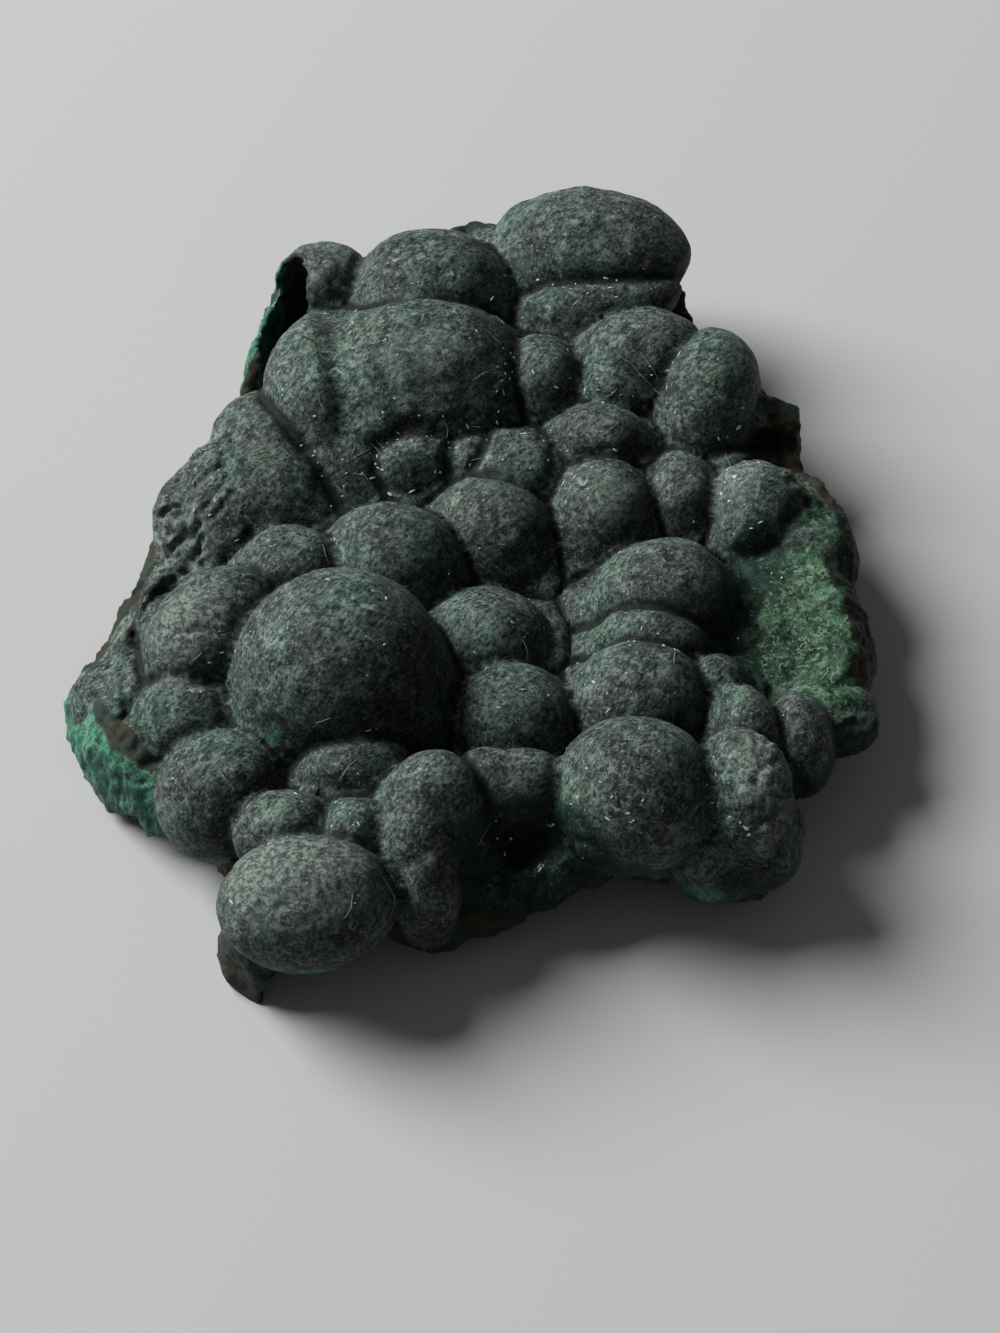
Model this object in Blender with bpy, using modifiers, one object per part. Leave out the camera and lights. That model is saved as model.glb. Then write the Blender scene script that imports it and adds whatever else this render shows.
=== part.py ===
"""Malachite specimen: a broken plate of rough matrix crowded with rounded, velvety lobes.

The stone is one grown piece. It is made here as one solid: a rough plate with a broken rim, chunks
of matrix with flat breaks, and a crowd of ellipsoid lobes, all grown together, then hollowed where
the stone is open and trimmed flat on the table plane where it rests.
Millimetres in the tables below, metres in the result. Front is -Y, up is +Z.
"""
import math

import bmesh
import bpy
import numpy as np
from mathutils import Euler, Matrix, Vector, noise

MM = 0.001
NAME = "malachite"

# Driving dimensions, millimetres.
GRAIN = 0.62            # size of the grain in which the lobes and the plate grow together
TRIANGLES = 9400        # faceting of the finished stone
VALLEY = 8.6            # height of the matrix floor between the lobes, mid plate
ARCH = 2.2              # height of the underside, mid plate
ROUGH = 0.62            # depth of the fine broken texture of the matrix
ROUGH_SPAN = 3.6        # width of one lump of that texture
CRAG = 1.15             # depth of the coarse breaks of the matrix
CRAG_SPAN = 9.5         # width of one coarse break
SHIFT = (0.0, 1.3)       # moves the finished plan onto the middle of the frame
SKIRT = 0.6             # how far below its middle a lobe's straight side goes, of its height
EDGE = (1.5, 5.5)       # inside the rim, where the straight sides and the fill start and are full
FILL_TURNS = 20         # how long the crust fills the gaps between lobes
FILL_PACE = 0.5         # how fast it does
FILL_FRONT = 0.45       # how much of the fill the front half gets

# The broken rim of the plate, clockwise seen from above, starting at the left corner:
# x, y, height of its upper edge, height of its lower edge, how far the lower edge stands out.
RIM = (
    (-37.0, -16.6, 7.2, 1.4, 1.2),
    (-34.8, -7.4, 4.6, 0.6, -0.4),
    (-30.8, 3.6, 4.4, 0.5, -0.4),
    (-26.6, 14.6, 4.6, 0.8, -0.8),
    (-22.8, 23.8, 6.0, 1.0, -1.0),
    (-21.0, 31.0, 7.4, 1.6, -1.4),
    (-18.8, 36.4, 9.0, 2.2, -1.8),
    (-13.0, 39.2, 9.2, 2.0, -1.4),
    (-6.0, 41.2, 8.4, 1.6, -0.8),
    (-0.4, 42.4, 11.4, 1.8, -0.8),
    (4.0, 44.2, 11.2, 2.0, -1.0),
    (10.0, 44.6, 8.4, 2.0, -1.0),
    (17.0, 42.8, 8.0, 2.4, -1.0),
    (21.4, 38.0, 8.8, 2.6, -1.2),
    (22.6, 30.4, 8.6, 2.2, -1.0),
    (27.4, 25.4, 8.0, 2.0, -0.8),
    (29.8, 17.4, 10.0, 2.4, -0.6),
    (32.0, 11.8, 8.0, 3.0, -1.0),
    (35.8, 3.4, 9.0, 3.8, -1.6),
    (36.9, -5.4, 9.4, 4.6, -2.0),
    (36.4, -12.6, 9.2, 5.0, -2.6),
    (35.6, -18.6, 7.6, 5.2, -3.0),
    (30.6, -20.8, 6.0, 4.4, -2.4),
    (29.6, -28.6, 5.6, 3.4, -1.8),
    (28.0, -35.0, 4.6, 2.8, -1.2),
    (23.2, -37.4, 4.2, 2.8, -0.8),
    (19.6, -35.2, 5.2, 4.4, -0.8),
    (15.4, -33.4, 6.0, 5.0, -1.0),
    (11.4, -35.8, 4.8, 3.6, -0.6),
    (7.8, -37.2, 4.6, 3.2, -0.4),
    (2.8, -39.4, 4.4, 2.4, 0.0),
    (-2.6, -41.2, 4.0, 1.6, 0.2),
    (-7.6, -40.4, 4.6, 2.8, -0.6),
    (-13.0, -42.0, 5.4, 4.0, -1.0),
    (-19.2, -41.0, 5.4, 2.0, -0.4),
    (-21.2, -34.4, 4.8, 1.6, 0.0),
    (-24.4, -30.6, 4.8, 2.0, 0.2),
    (-28.0, -27.6, 7.4, 1.4, 1.6),
    (-30.6, -24.2, 7.8, 1.2, 2.0),
    (-33.2, -21.6, 7.8, 1.0, 1.6),
)

# The lobes: name, centre x, y, z, radii x, y and upward, turn about the upright in degrees, the
# slope in degrees at which the side stops curving and runs straight down to the neighbours, and
# the radius downward.
LOBES = (
    # front left
    ("great dome", -11.6, -17.5, 11.5, 9.7, 9.5, 9.5, 0, 72, 9.5),
    ("left dome", -21.9, -28.5, 7.8, 5.9, 6, 5.7, 0, 70, 6.3),
    ("left shoulder", -25.6, -20.3, 9.1, 4.9, 5, 3.3, 30, 61, 5.5),
    ("left crescent", -23.3, -12.0, 10.4, 5.6, 7.8, 5.5, -35, 64, 7.2),
    ("left bud", -29.9, -16.3, 8.0, 3.4, 5, 3.0, -20, 61, 5.0),
    ("corner bud", -33.2, -16.8, 6.8, 3.2, 4, 2.4, 0, 61, 4.0),
    ("crescent cap", -16.7, -4.8, 11.9, 4.8, 4.3, 2.9, 0, 61, 4.7),
    ("front dome", -13.6, -41.3, 9.5, 7.7, 6.2, 5.5, 4, 68, 5.0),
    ("saddle dome", -10, -27.0, 9.6, 5.4, 4.6, 4.2, 0, 64, 5.1),
    ("saddle bud left", -15.8, -34.4, 9.9, 4.6, 4.2, 3.8, 0, 62, 4.6),
    ("saddle bud right", -10, -34.8, 9.9, 4, 3.6, 3.4, 0, 62, 4.2),
    ("column head", -2.8, -32.2, 11.2, 5.1, 4.6, 5.1, 22, 66, 5.9),
    ("column middle", -4.0, -35.2, 9.3, 4.1, 4.8, 5.7, 0, 68, 6.4),
    ("column foot", -3.5, -38.0, 7.0, 3.0, 4.2, 6.2, 0, 70, 6.6),
    ("brow left", 1.8, -30.2, 11.5, 4.6, 3.2, 3.5, 0, 64, 4.4),
    ("brow right", 4.8, -30.3, 11.5, 4.6, 3.3, 3.5, 0, 64, 4.4),
    # middle
    ("back of great dome", -7.5, -3.1, 11.7, 5.8, 5.6, 3.8, 0, 61, 6.2),
    ("middle dome", 2, 2.2, 9.7, 5.4, 5.6, 4.0, 0, 61, 6.4),
    ("middle hood", 4.2, 8.8, 10.5, 4.6, 4.8, 3.2, 0, 61, 5.2),
    ("middle crest", 12.3, 12.4, 11.0, 5, 4.2, 3.2, 0, 61, 5.2),
    ("middle right", 12.7, 4.6, 9.7, 4.9, 5.6, 4.0, 0, 61, 6.4),
    ("narrow bud", 20.1, 6.7, 9.9, 3.4, 4.4, 2.9, 0, 61, 4.7),
    ("low bud left", -5.3, 10.4, 11.3, 4.5, 3.3, 2.2, 8, 59, 3.1),
    ("low bud right", -0.2, 10.0, 11.0, 3.4, 2.7, 2.1, 0, 59, 2.6),
    ("valley dome", 1.2, -11.1, 8.6, 6, 5.6, 4.2, 0, 66, 5.8),
    ("valley mouth", 4, -20.3, 8.6, 5.6, 5.4, 4.4, 0, 68, 5.6),
    # right
    ("right back dome", 18, -6.5, 9.8, 6.3, 6, 4.4, 0, 66, 6.0),
    ("right lens", 16.8, -12.2, 9.2, 5.2, 5, 3.9, 0, 62, 5.3),
    ("right mid dome", 15.5, -18.5, 9.6, 6, 5.6, 4.4, 0, 67, 5.6),
    ("right front dome", 14.5, -31, 11.1, 7.2, 7.1, 6.9, 0, 71, 7.1),
    ("right bud", 22.4, -16.8, 9.7, 2.6, 2.6, 2.2, 0, 62, 2.6),
    ("right neck", 24.7, -22.8, 9.9, 3.0, 4.6, 3.4, 8, 62, 3.6),
    ("right ridge", 24.3, -30.3, 9.5, 4.6, 6.6, 7.0, 14, 70, 7.0),
    ("right flank", 25.5, -31.0, 6.5, 4.4, 7.0, 5.4, 0, 70, 5.4),
    ("right toe", 22.6, -34, 6.0, 5.2, 4.4, 4.2, 0, 68, 4.2),
    ("right lip", 32.2, -18.4, 7.0, 5.0, 2.9, 2.7, 8, 68, 2.8),
    ("right wall", 29.7, -22.1, 7.0, 3.4, 5, 4.6, 0, 68, 4.6),
    ("edge dome", 27.7, 4.8, 10.5, 4.4, 4.6, 3.0, 0, 61, 5.0),
    ("edge bud", 24.4, 11.1, 9.2, 3, 2.8, 1.9, 0, 59, 3.3),
    ("tall edge dome", 23.5, 18.6, 12.0, 4.8, 6.7, 4.8, -8, 62, 6.8),
    # back
    ("back crest", 16.9, 23.1, 13.2, 5.8, 4.8, 3.0, 10, 59, 5.4),
    ("back crest foot", 13.6, 19, 11.8, 3.6, 3.6, 2.2, 0, 59, 3.8),
    ("back bud", 6.5, 20.3, 12.2, 4.1, 4.6, 3.2, 0, 59, 5.6),
    ("back saddle", 13.2, 30.6, 12.7, 8.2, 4.2, 2.6, 14, 59, 4.4),
    ("back dome", 12.0, 37.4, 13.2, 10.2, 7.4, 5.0, -7, 62, 6.8),
    ("back left dome", -4.2, 31.3, 14.0, 7, 7, 4.2, 0, 60, 6.2),
    ("back left block", -15.1, 33.3, 12.4, 4.9, 4.8, 3.6, 0, 60, 4.8),
    ("high dome", -4.5, 20.4, 14.8, 7.5, 7.0, 3.8, 0, 57, 6.6),
    ("high dome link", -9.8, 19.4, 13.9, 6.6, 7.2, 3.6, 0, 56, 6.6),
    ("high dome flank", -14.6, 19.0, 13.2, 5.2, 7.6, 3.7, 0, 55, 6.4),
    ("high dome apron", -12.6, 14.4, 9.4, 7.2, 9.0, 4.3, 0, 56, 5.0),
    ("slope head", -19.1, 13.0, 10.4, 6.0, 6.4, 3.4, 20, 56, 6.1),
    ("slope", -20.6, 7.8, 9.8, 7.4, 6.6, 3.7, 0, 54, 6.3),
    ("slope edge", -25.7, 7.1, 6.9, 4.8, 7, 3.5, -20, 56, 5.3),
)

# Chunks of matrix: name, centre, radii, turn, and the flat breaks (outward direction, distance
# from the chunk's centre) that trim it.
CHUNKS = (
    ("right slab", (31.0, -8.6, 4.4), (7.0, 11.6, 7.6), 10,
     (((-0.36, -0.10, 0.93), 4.9), ((0.98, 0.18, -0.10), 6.0), ((0.2, -1.0, 0.1), 9.4),
      ((0.30, -0.12, -0.95), 1.0))),
    ("edge slab", (28.2, 14.6, 7.4), (5.6, 5.4, 7.6), 0,
     (((0.10, -1.0, 0.05), 0.8), ((1.0, 0.06, 0.06), 4.3), ((0.25, 0.1, 0.96), 4.0),
      ((-0.3, 0.95, 0.1), 4.2), ((0.15, 0.05, -0.98), 4.6))),
    ("edge ridge", (32.2, 3.2, 7.6), (4.6, 7.4, 4.8), 20,
     (((0.92, 0.30, 0.25), 3.7), ((0.10, 0.2, 0.97), 3.4))),
    ("back ledge", (1.2, 39.6, 9.6), (5.4, 4.4, 4.6), 0,
     (((0.30, 0.92, 0.25), 3.4), ((-0.60, 0.76, 0.2), 4.0), ((0.1, 0.1, 0.99), 3.2))),
    ("cavity wall", (-20.2, 30.6, 5.4), (2.9, 8.8, 6.4), -14,
     (((-0.97, 0.24, 0.10), 1.7), ((-0.3, 0.1, 0.95), 4.2), ((-0.2, 0.1, -0.97), 4.2))),
    ("slope ledge", (-30.6, -4.4, 4.4), (3.4, 9.4, 3.8), -18,
     (((-0.78, 0.22, 0.58), 2.0),)),
    ("upper floor", (-7.0, 9.6, 7.2), (12.0, 7.0, 3.6), 0, ()),
    ("left break", (-30.6, -21.2, 4.6), (4.6, 8.4, 5.6), 34,
     (((-0.72, -0.68, 0.12), 4.2),)),
    ("right tongue", (32.4, -19.2, 6.6), (5.2, 3.4, 3.0), 0, ()),
    ("front sill", (17.2, -33.9, 5.7), (5.6, 2.6, 2.0), -12,
     (((0.2, -0.96, 0.2), 1.7),)),
    ("front floor", (4.6, -34.4, 6.4), (6.0, 5.0, 4.6), 0,
     (((-0.1, -0.72, 0.7), 2.7),)),
    ("front lump", (10.6, -35.4, 6.2), (2.2, 1.8, 1.8), 0, ()),
    ("leg", (-18.1, -41.6, 2.4), (3.6, 4.2, 6.4), 14,
     (((0.82, -0.30, -0.30), 2.3), ((-0.60, -0.80, 0.0), 3.2), ((0.1, 0.96, -0.25), 3.2))),
    ("left foot", (-27.6, -16.6, 2.2), (7.4, 8.6, 2.6), 40, ()),
    ("back left foot", (-12.6, 26.4, 2.3), (9.6, 7.6, 2.7), 24, (((0.5, 0.8, -0.35), 5.2),)),
    ("back right foot", (13.2, 27.6, 2.4), (9.2, 8.4, 2.8), -18, (((-0.7, 0.5, -0.4), 5.0),)),
    ("right foot", (19.6, -4.6, 2.6), (7.8, 9.8, 3.0), 12, (((0.9, -0.3, -0.35), 5.4),)),
    ("keel", (-4.0, 2.0, 3.0), (15.0, 10.0, 2.6), 25, (((0.25, 0.55, -0.8), 2.3),)),
    ("front keel", (3.0, -21.0, 3.4), (11.0, 8.0, 2.7), -20, (((0.5, -0.35, -0.8), 2.3),)),
)

# Places that the crust leaves bare: name, centre, radii, turn.
BARE = (
    ("green face", (31.0, -9.0, 8.0), (6.4, 10.6, 6.0), 10),
    ("brow", (6.0, -36.6, 8.0), (7.6, 4.0, 6.0), 0),
)

# Hollows: name, centre, radii, turn.
HOLLOWS = (
    ("cavity", (-18.6, 29.7, 10.2), (2.5, 6.0, 7.4), -14),
    ("brow hollow", (5.5, -35.9, 11.4), (3.4, 2.8, 3.8), 0),
    ("leg hollow", (-14.8, -44.2, 1.2), (3.3, 3.6, 3.8), 24),
    ("left notch", (-30.4, -27.6, 1.6), (1.6, 1.5, 1.9), 30),
)


def clear_scene():
    """Empty the scene of everything it starts with."""
    for item in list(bpy.data.objects):
        bpy.data.objects.remove(item, do_unlink=True)


def in_frame(spot):
    """Turn a point of the tables, in millimetres, into metres in the part's frame."""
    return (Vector(spot) + Vector((SHIFT[0], SHIFT[1], 0.0))) * MM


def placed(centre, radii, turn):
    """Transform that makes a unit ball into an ellipsoid of the stone, in metres."""
    spin = Euler((0.0, 0.0, math.radians(turn))).to_matrix().to_4x4()
    size = Matrix.Diagonal((radii[0] * MM, radii[1] * MM, radii[2] * MM, 1.0))
    return Matrix.Translation(in_frame(centre)) @ spin @ size


def add_ball(body, centre, radii, turn, detail):
    """Add one ellipsoid to the mesh being built and return its vertices."""
    made = bmesh.ops.create_icosphere(
        body, subdivisions=detail, radius=1.0, matrix=placed(centre, radii, turn))
    return made["verts"]


def smooth(value, low, high):
    """Ease numbers from 0 at low to 1 at high."""
    share = np.clip((value - low) / (high - low), 0.0, 1.0)
    return share * share * (3.0 - 2.0 * share)


def rim_distance(plan):
    """How far plan points, in the tables' millimetres, lie inside the rim; negative outside."""
    away = np.full(len(plan), 1e9)
    inside = np.zeros(len(plan), dtype=bool)
    corners = [np.array(row[:2]) for row in RIM]
    for start, end in zip(corners, corners[1:] + corners[:1]):
        side = end - start
        along = np.clip((plan - start) @ side / (side @ side), 0.0, 1.0)
        away = np.minimum(away, np.linalg.norm(plan - start - along[:, None] * side, axis=1))
        spans = (start[1] > plan[:, 1]) != (end[1] > plan[:, 1])
        rise = side[1] if side[1] != 0.0 else 1e-9
        inside ^= spans & (plan[:, 0] < start[0] + (plan[:, 1] - start[1]) * side[0] / rise)
    return np.where(inside, away, -away)


def in_tables(points):
    """Turn points in metres into the tables' millimetres."""
    return points / MM - np.array([SHIFT[0], SHIFT[1], 0.0])


def moved(points, matrix):
    """Points put through a matrix."""
    turned = np.array(matrix)
    return points @ turned[:3, :3].T + turned[:3, 3]


def unit_ball():
    """Corners and faces of a fine ball of radius 1."""
    body = bmesh.new()
    bmesh.ops.create_icosphere(body, subdivisions=5, radius=1.0)
    points = np.array([vert.co[:] for vert in body.verts])
    faces = [tuple(vert.index for vert in face.verts) for face in body.faces]
    body.free()
    return points, faces


def lobe_points(ball, matrix, slope, below):
    """A lobe: an ellipsoid whose sides, where the rim is far, run straight down at a slope.

    Its lower half is deeper or shallower than its upper half by the factor below.
    """
    bend, low = math.radians(slope), math.radians(150.0)
    reach = np.hypot(ball[:, 0], ball[:, 1])
    polar = np.arctan2(reach, ball[:, 2])
    drop = np.clip((polar - bend) / (low - bend), 0.0, 1.0) * (math.cos(bend) + SKIRT)
    wide = math.sin(bend) + drop / math.tan(bend)
    wide = wide * np.clip((math.pi - polar) / (math.pi - low), 0.0, 1.0)
    flared = ball.copy()
    past = polar > bend
    flared[past, :2] *= (wide / np.maximum(reach, 1e-9))[past, None]
    flared[past, 2] = (math.cos(bend) - drop)[past]
    plain = ball.copy()
    for points in (plain, flared):
        points[:, 2] = np.where(points[:, 2] < 0.0, points[:, 2] * below, points[:, 2])
    plain, flared = moved(plain, matrix), moved(flared, matrix)
    hold = smooth(rim_distance(in_tables(flared)[:, :2]), *EDGE)[:, None]
    return plain * (1.0 - hold) + flared * hold


def add_lobes(body):
    """Add every lobe to the mesh being built."""
    ball, faces = unit_ball()
    for name, x, y, z, rx, ry, up, turn, slope, down in LOBES:
        points = lobe_points(ball, placed((x, y, z), (rx, ry, up), turn), slope, down / up)
        lobe = bpy.data.meshes.new(name)
        lobe.from_pydata([tuple(point) for point in points], [], faces)
        body.from_mesh(lobe)
        bpy.data.meshes.remove(lobe)


def arrays(mesh):
    """Places and outward directions of a mesh's corners."""
    places = np.empty(len(mesh.vertices) * 3)
    mesh.vertices.foreach_get("co", places)
    outward = np.empty(len(mesh.vertices) * 3)
    mesh.vertex_normals.foreach_get("vector", outward)
    return places.reshape(-1, 3), outward.reshape(-1, 3)


def fill_gaps(mesh):
    """Fill the deep gaps between the lobes, as the crust over them does.

    Hollow places move outward a little at a time and nothing moves inward, so the domes keep
    their shape and only the valleys rise.
    """
    points, outward = arrays(mesh)
    ends = np.empty(len(mesh.edges) * 2, dtype=np.int32)
    mesh.edges.foreach_get("vertices", ends)
    first, second = ends.reshape(-1, 2).T
    count = len(points)
    ties = np.bincount(ends, minlength=count)
    spots = in_tables(points)
    hold = smooth(rim_distance(spots[:, :2]), *EDGE) * smooth(spots[:, 2], 3.0, 6.0)
    hold *= FILL_FRONT + (1.0 - FILL_FRONT) * smooth(spots[:, 1], -10.0, 4.0)
    for _name, centre, radii, turn in BARE:
        local = moved(points, placed(centre, radii, turn).inverted())
        hold *= smooth(np.linalg.norm(local, axis=1), 0.8, 1.1)
    for step in range(FILL_TURNS):
        middle = np.empty_like(points)
        for axis in range(3):
            middle[:, axis] = (
                np.bincount(first, weights=points[second, axis], minlength=count)
                + np.bincount(second, weights=points[first, axis], minlength=count)) / ties
        rise = np.clip(((middle - points) * outward).sum(axis=1), 0.0, None)
        points = points + outward * (rise * FILL_PACE * hold)[:, None]
        if step % 4 == 3:
            mesh.vertices.foreach_set("co", points.ravel())
            mesh.update()
            outward = arrays(mesh)[1]
    mesh.vertices.foreach_set("co", points.ravel())
    mesh.update()


def add_chunk(body, centre, radii, turn, breaks):
    """Add one ellipsoid trimmed by flat breaks."""
    piece = bmesh.new()
    add_ball(piece, centre, radii, turn, 4)
    for outward, distance in breaks:
        normal = Vector(outward).normalized()
        on_plane = in_frame(Vector(centre) + normal * distance)
        cut = bmesh.ops.bisect_plane(
            piece, geom=piece.verts[:] + piece.edges[:] + piece.faces[:],
            plane_co=on_plane, plane_no=normal, clear_outer=True)
        border = [g for g in cut["geom_cut"] if isinstance(g, bmesh.types.BMEdge)]
        if border:
            bmesh.ops.contextual_create(piece, geom=border)
    bmesh.ops.triangulate(piece, faces=piece.faces[:])
    roughen(piece, ROUGH * 0.6, ROUGH_SPAN)
    part = bpy.data.meshes.new("chunk")
    piece.to_mesh(part)
    piece.free()
    body.from_mesh(part)
    bpy.data.meshes.remove(part)


def roughen(body, depth, span):
    """Push every vertex in or out by a lumpy, broken texture."""
    body.normal_update()
    moves = []
    for vert in body.verts:
        spot = vert.co / (span * MM)
        lumps = noise.fractal(spot, 0.8, 2.1, 4)
        cells = noise.voronoi(spot * 1.3)[0][0] - 0.45
        moves.append(vert.normal * ((0.7 * lumps - 0.8 * cells) * depth * MM))
    for vert, move in zip(body.verts, moves):
        vert.co += move


def plate_ring(body, inset, upper, level, share):
    """Add one ring of the plate: the rim drawn inward and eased towards a level."""
    ring = []
    for x, y, over, under, flare in RIM:
        out = Vector((x, y, 0.0))
        edge = over
        if not upper:
            edge = under
            out += out.normalized() * flare
        height = edge * (1.0 - share) + level * share
        spot = in_frame((out.x * inset, out.y * inset, height))
        ring.append(body.verts.new(spot))
    return ring


def add_plate(body):
    """Add the rough plate: rings from the middle of the top, over the rim, to the underside."""
    piece = bmesh.new()
    rings = [
        plate_ring(piece, 0.20, True, VALLEY, 1.0),
        plate_ring(piece, 0.50, True, VALLEY, 1.0),
        plate_ring(piece, 0.78, True, VALLEY, 0.7),
        plate_ring(piece, 0.93, True, VALLEY, 0.25),
        plate_ring(piece, 1.00, True, VALLEY, 0.0),
        plate_ring(piece, 1.00, False, ARCH, 0.0),
        plate_ring(piece, 0.86, False, ARCH, 0.25),
        plate_ring(piece, 0.55, False, ARCH, 0.85),
        plate_ring(piece, 0.20, False, ARCH, 1.0),
    ]
    count = len(RIM)
    for above, below in zip(rings, rings[1:]):
        for step in range(count):
            after = (step + 1) % count
            piece.faces.new((above[step], above[after], below[after], below[step]))
    piece.faces.new(list(reversed(rings[0])))
    piece.faces.new(rings[-1])
    bmesh.ops.recalc_face_normals(piece, faces=piece.faces[:])
    bmesh.ops.triangulate(piece, faces=piece.faces[:])
    bmesh.ops.subdivide_edges(piece, edges=piece.edges[:], cuts=3, use_grid_fill=True)
    bmesh.ops.triangulate(piece, faces=piece.faces[:])
    roughen(piece, CRAG, CRAG_SPAN)
    roughen(piece, ROUGH, ROUGH_SPAN)
    part = bpy.data.meshes.new("plate")
    piece.to_mesh(part)
    piece.free()
    body.from_mesh(part)
    bpy.data.meshes.remove(part)


def outer_skin(mesh):
    """Keep only the skin that spans the whole stone, dropping closed voids inside it."""
    body = bmesh.new()
    body.from_mesh(mesh)
    left = set(body.verts)
    groups = []
    while left:
        seed = left.pop()
        group = {seed}
        front = [seed]
        while front:
            vert = front.pop()
            for edge in vert.link_edges:
                other = edge.other_vert(vert)
                if other in left:
                    left.discard(other)
                    group.add(other)
                    front.append(other)
        groups.append(group)
    widest = max(groups, key=len)
    spare = [vert for group in groups if group is not widest for vert in group]
    bmesh.ops.delete(body, geom=spare, context="VERTS")
    body.to_mesh(mesh)
    body.free()


def stone_material():
    """The stone's own finish: dark grey-green, matt."""
    material = bpy.data.materials.new("malachite_velvet")
    material.use_nodes = True
    shader = material.node_tree.nodes["Principled BSDF"]
    shader.inputs["Base Color"].default_value = (0.055, 0.085, 0.072, 1.0)
    shader.inputs["Roughness"].default_value = 0.72
    shader.inputs["Metallic"].default_value = 0.0
    return material


def grown_mesh():
    """Grow plate, chunks and lobes together into one closed skin."""
    body = bmesh.new()
    add_plate(body)
    for _name, centre, radii, turn, breaks in CHUNKS:
        add_chunk(body, centre, radii, turn, breaks)
    add_lobes(body)
    mesh = bpy.data.meshes.new("grown")
    body.to_mesh(mesh)
    body.free()
    holder = bpy.data.objects.new("grown", mesh)
    bpy.context.scene.collection.objects.link(holder)
    grow = holder.modifiers.new("grow together", "REMESH")
    grow.mode = "VOXEL"
    grow.voxel_size = GRAIN * MM
    grow.adaptivity = 0.0
    ready = holder.evaluated_get(bpy.context.evaluated_depsgraph_get())
    skin = bpy.data.meshes.new_from_object(ready)
    bpy.data.objects.remove(holder, do_unlink=True)
    outer_skin(skin)
    fill_gaps(skin)
    return skin


def cutter(name, mesh, home):
    """Put a cutting body in its own collection, out of sight."""
    item = bpy.data.objects.new(name, mesh)
    home.objects.link(item)
    item.hide_render = True
    item.display_type = "WIRE"
    return item


def cut_with(stone, tool):
    """Take the tool's volume away from the stone."""
    step = stone.modifiers.new(tool.name, "BOOLEAN")
    step.operation = "DIFFERENCE"
    step.solver = "MANIFOLD"
    step.object = tool


def hollow_mesh(centre, radii, turn):
    """A lumpy ellipsoid for one hollow."""
    body = bmesh.new()
    add_ball(body, centre, radii, turn, 3)
    roughen(body, ROUGH * 0.5, ROUGH_SPAN)
    mesh = bpy.data.meshes.new("hollow")
    body.to_mesh(mesh)
    body.free()
    return mesh


def table_mesh():
    """A broad box under the table plane, which trims the feet flat."""
    body = bmesh.new()
    box = Matrix.Translation((0.0, 0.0, -10.0 * MM)) @ Matrix.Diagonal((0.2, 0.2, 20.0 * MM, 1.0))
    bmesh.ops.create_cube(body, size=1.0, matrix=box)
    mesh = bpy.data.meshes.new("table plane")
    body.to_mesh(mesh)
    body.free()
    return mesh


def build():
    """Build the whole specimen."""
    clear_scene()
    scene = bpy.context.scene
    home = bpy.data.collections.new("malachite_specimen")
    scene.collection.children.link(home)
    tools = bpy.data.collections.new("cutters")
    scene.collection.children.link(tools)

    mesh = grown_mesh()
    mesh.name = NAME
    mesh.materials.clear()
    mesh.materials.append(stone_material())
    stone = bpy.data.objects.new(NAME, mesh)
    home.objects.link(stone)

    for name, centre, radii, turn in HOLLOWS:
        cut_with(stone, cutter(name, hollow_mesh(centre, radii, turn), tools))

    settle = stone.modifiers.new("settle", "REMESH")
    settle.mode = "VOXEL"
    settle.voxel_size = GRAIN * MM
    faceting = stone.modifiers.new("faceting", "DECIMATE")
    faceting.decimate_type = "COLLAPSE"
    faceting.ratio = TRIANGLES / (2.0 * len(mesh.polygons))
    faceting.use_collapse_triangulate = True

    cut_with(stone, cutter("table plane", table_mesh(), tools))
    return stone


build()
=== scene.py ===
"""Dresses the malachite specimen: a rough plate of matrix crowded with velvety, rounded lobes.

The stone is grown again here from the same named shapes as its solid, at a finer grain: the lobes
meet in sharp creases, the matrix is broken and pitted, and the fresh breaks show their fibres.
Tables are in millimetres; everything made is in metres, in the frame of the solid.
"""
from __future__ import annotations

import logging
import math
import random
from collections.abc import Callable
from dataclasses import dataclass, field
from enum import Enum
import bmesh
import bpy
import numpy as np
from mathutils import Euler, Matrix, Vector, noise
from mathutils.bvhtree import BVHTree


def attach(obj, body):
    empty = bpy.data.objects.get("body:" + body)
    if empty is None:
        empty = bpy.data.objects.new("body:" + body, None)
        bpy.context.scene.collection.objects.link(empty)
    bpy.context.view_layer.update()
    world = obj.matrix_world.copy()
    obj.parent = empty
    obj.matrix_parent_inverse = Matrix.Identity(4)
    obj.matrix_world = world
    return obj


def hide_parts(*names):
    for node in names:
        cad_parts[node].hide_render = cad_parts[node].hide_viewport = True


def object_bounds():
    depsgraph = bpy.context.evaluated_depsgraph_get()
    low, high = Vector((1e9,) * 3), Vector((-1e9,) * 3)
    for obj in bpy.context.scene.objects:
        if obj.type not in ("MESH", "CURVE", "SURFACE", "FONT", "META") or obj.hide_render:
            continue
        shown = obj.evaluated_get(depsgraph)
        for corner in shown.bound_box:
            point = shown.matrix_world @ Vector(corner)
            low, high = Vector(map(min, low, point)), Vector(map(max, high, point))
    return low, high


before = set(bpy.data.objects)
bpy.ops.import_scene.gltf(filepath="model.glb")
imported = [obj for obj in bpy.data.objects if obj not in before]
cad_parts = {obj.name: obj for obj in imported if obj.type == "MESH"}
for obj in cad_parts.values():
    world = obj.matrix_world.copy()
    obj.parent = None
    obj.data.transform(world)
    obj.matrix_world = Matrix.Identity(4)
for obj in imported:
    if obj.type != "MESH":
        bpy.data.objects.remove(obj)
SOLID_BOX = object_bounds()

log = logging.getLogger("malachite")

Triple = tuple[float, float, float]
Row = tuple[float, ...]
Line = tuple[Row, ...]
Array = np.ndarray
Body = bmesh.types.BMesh
Mesh = bpy.types.Mesh
Piece = bpy.types.Object
Socket = bpy.types.NodeSocket

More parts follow.
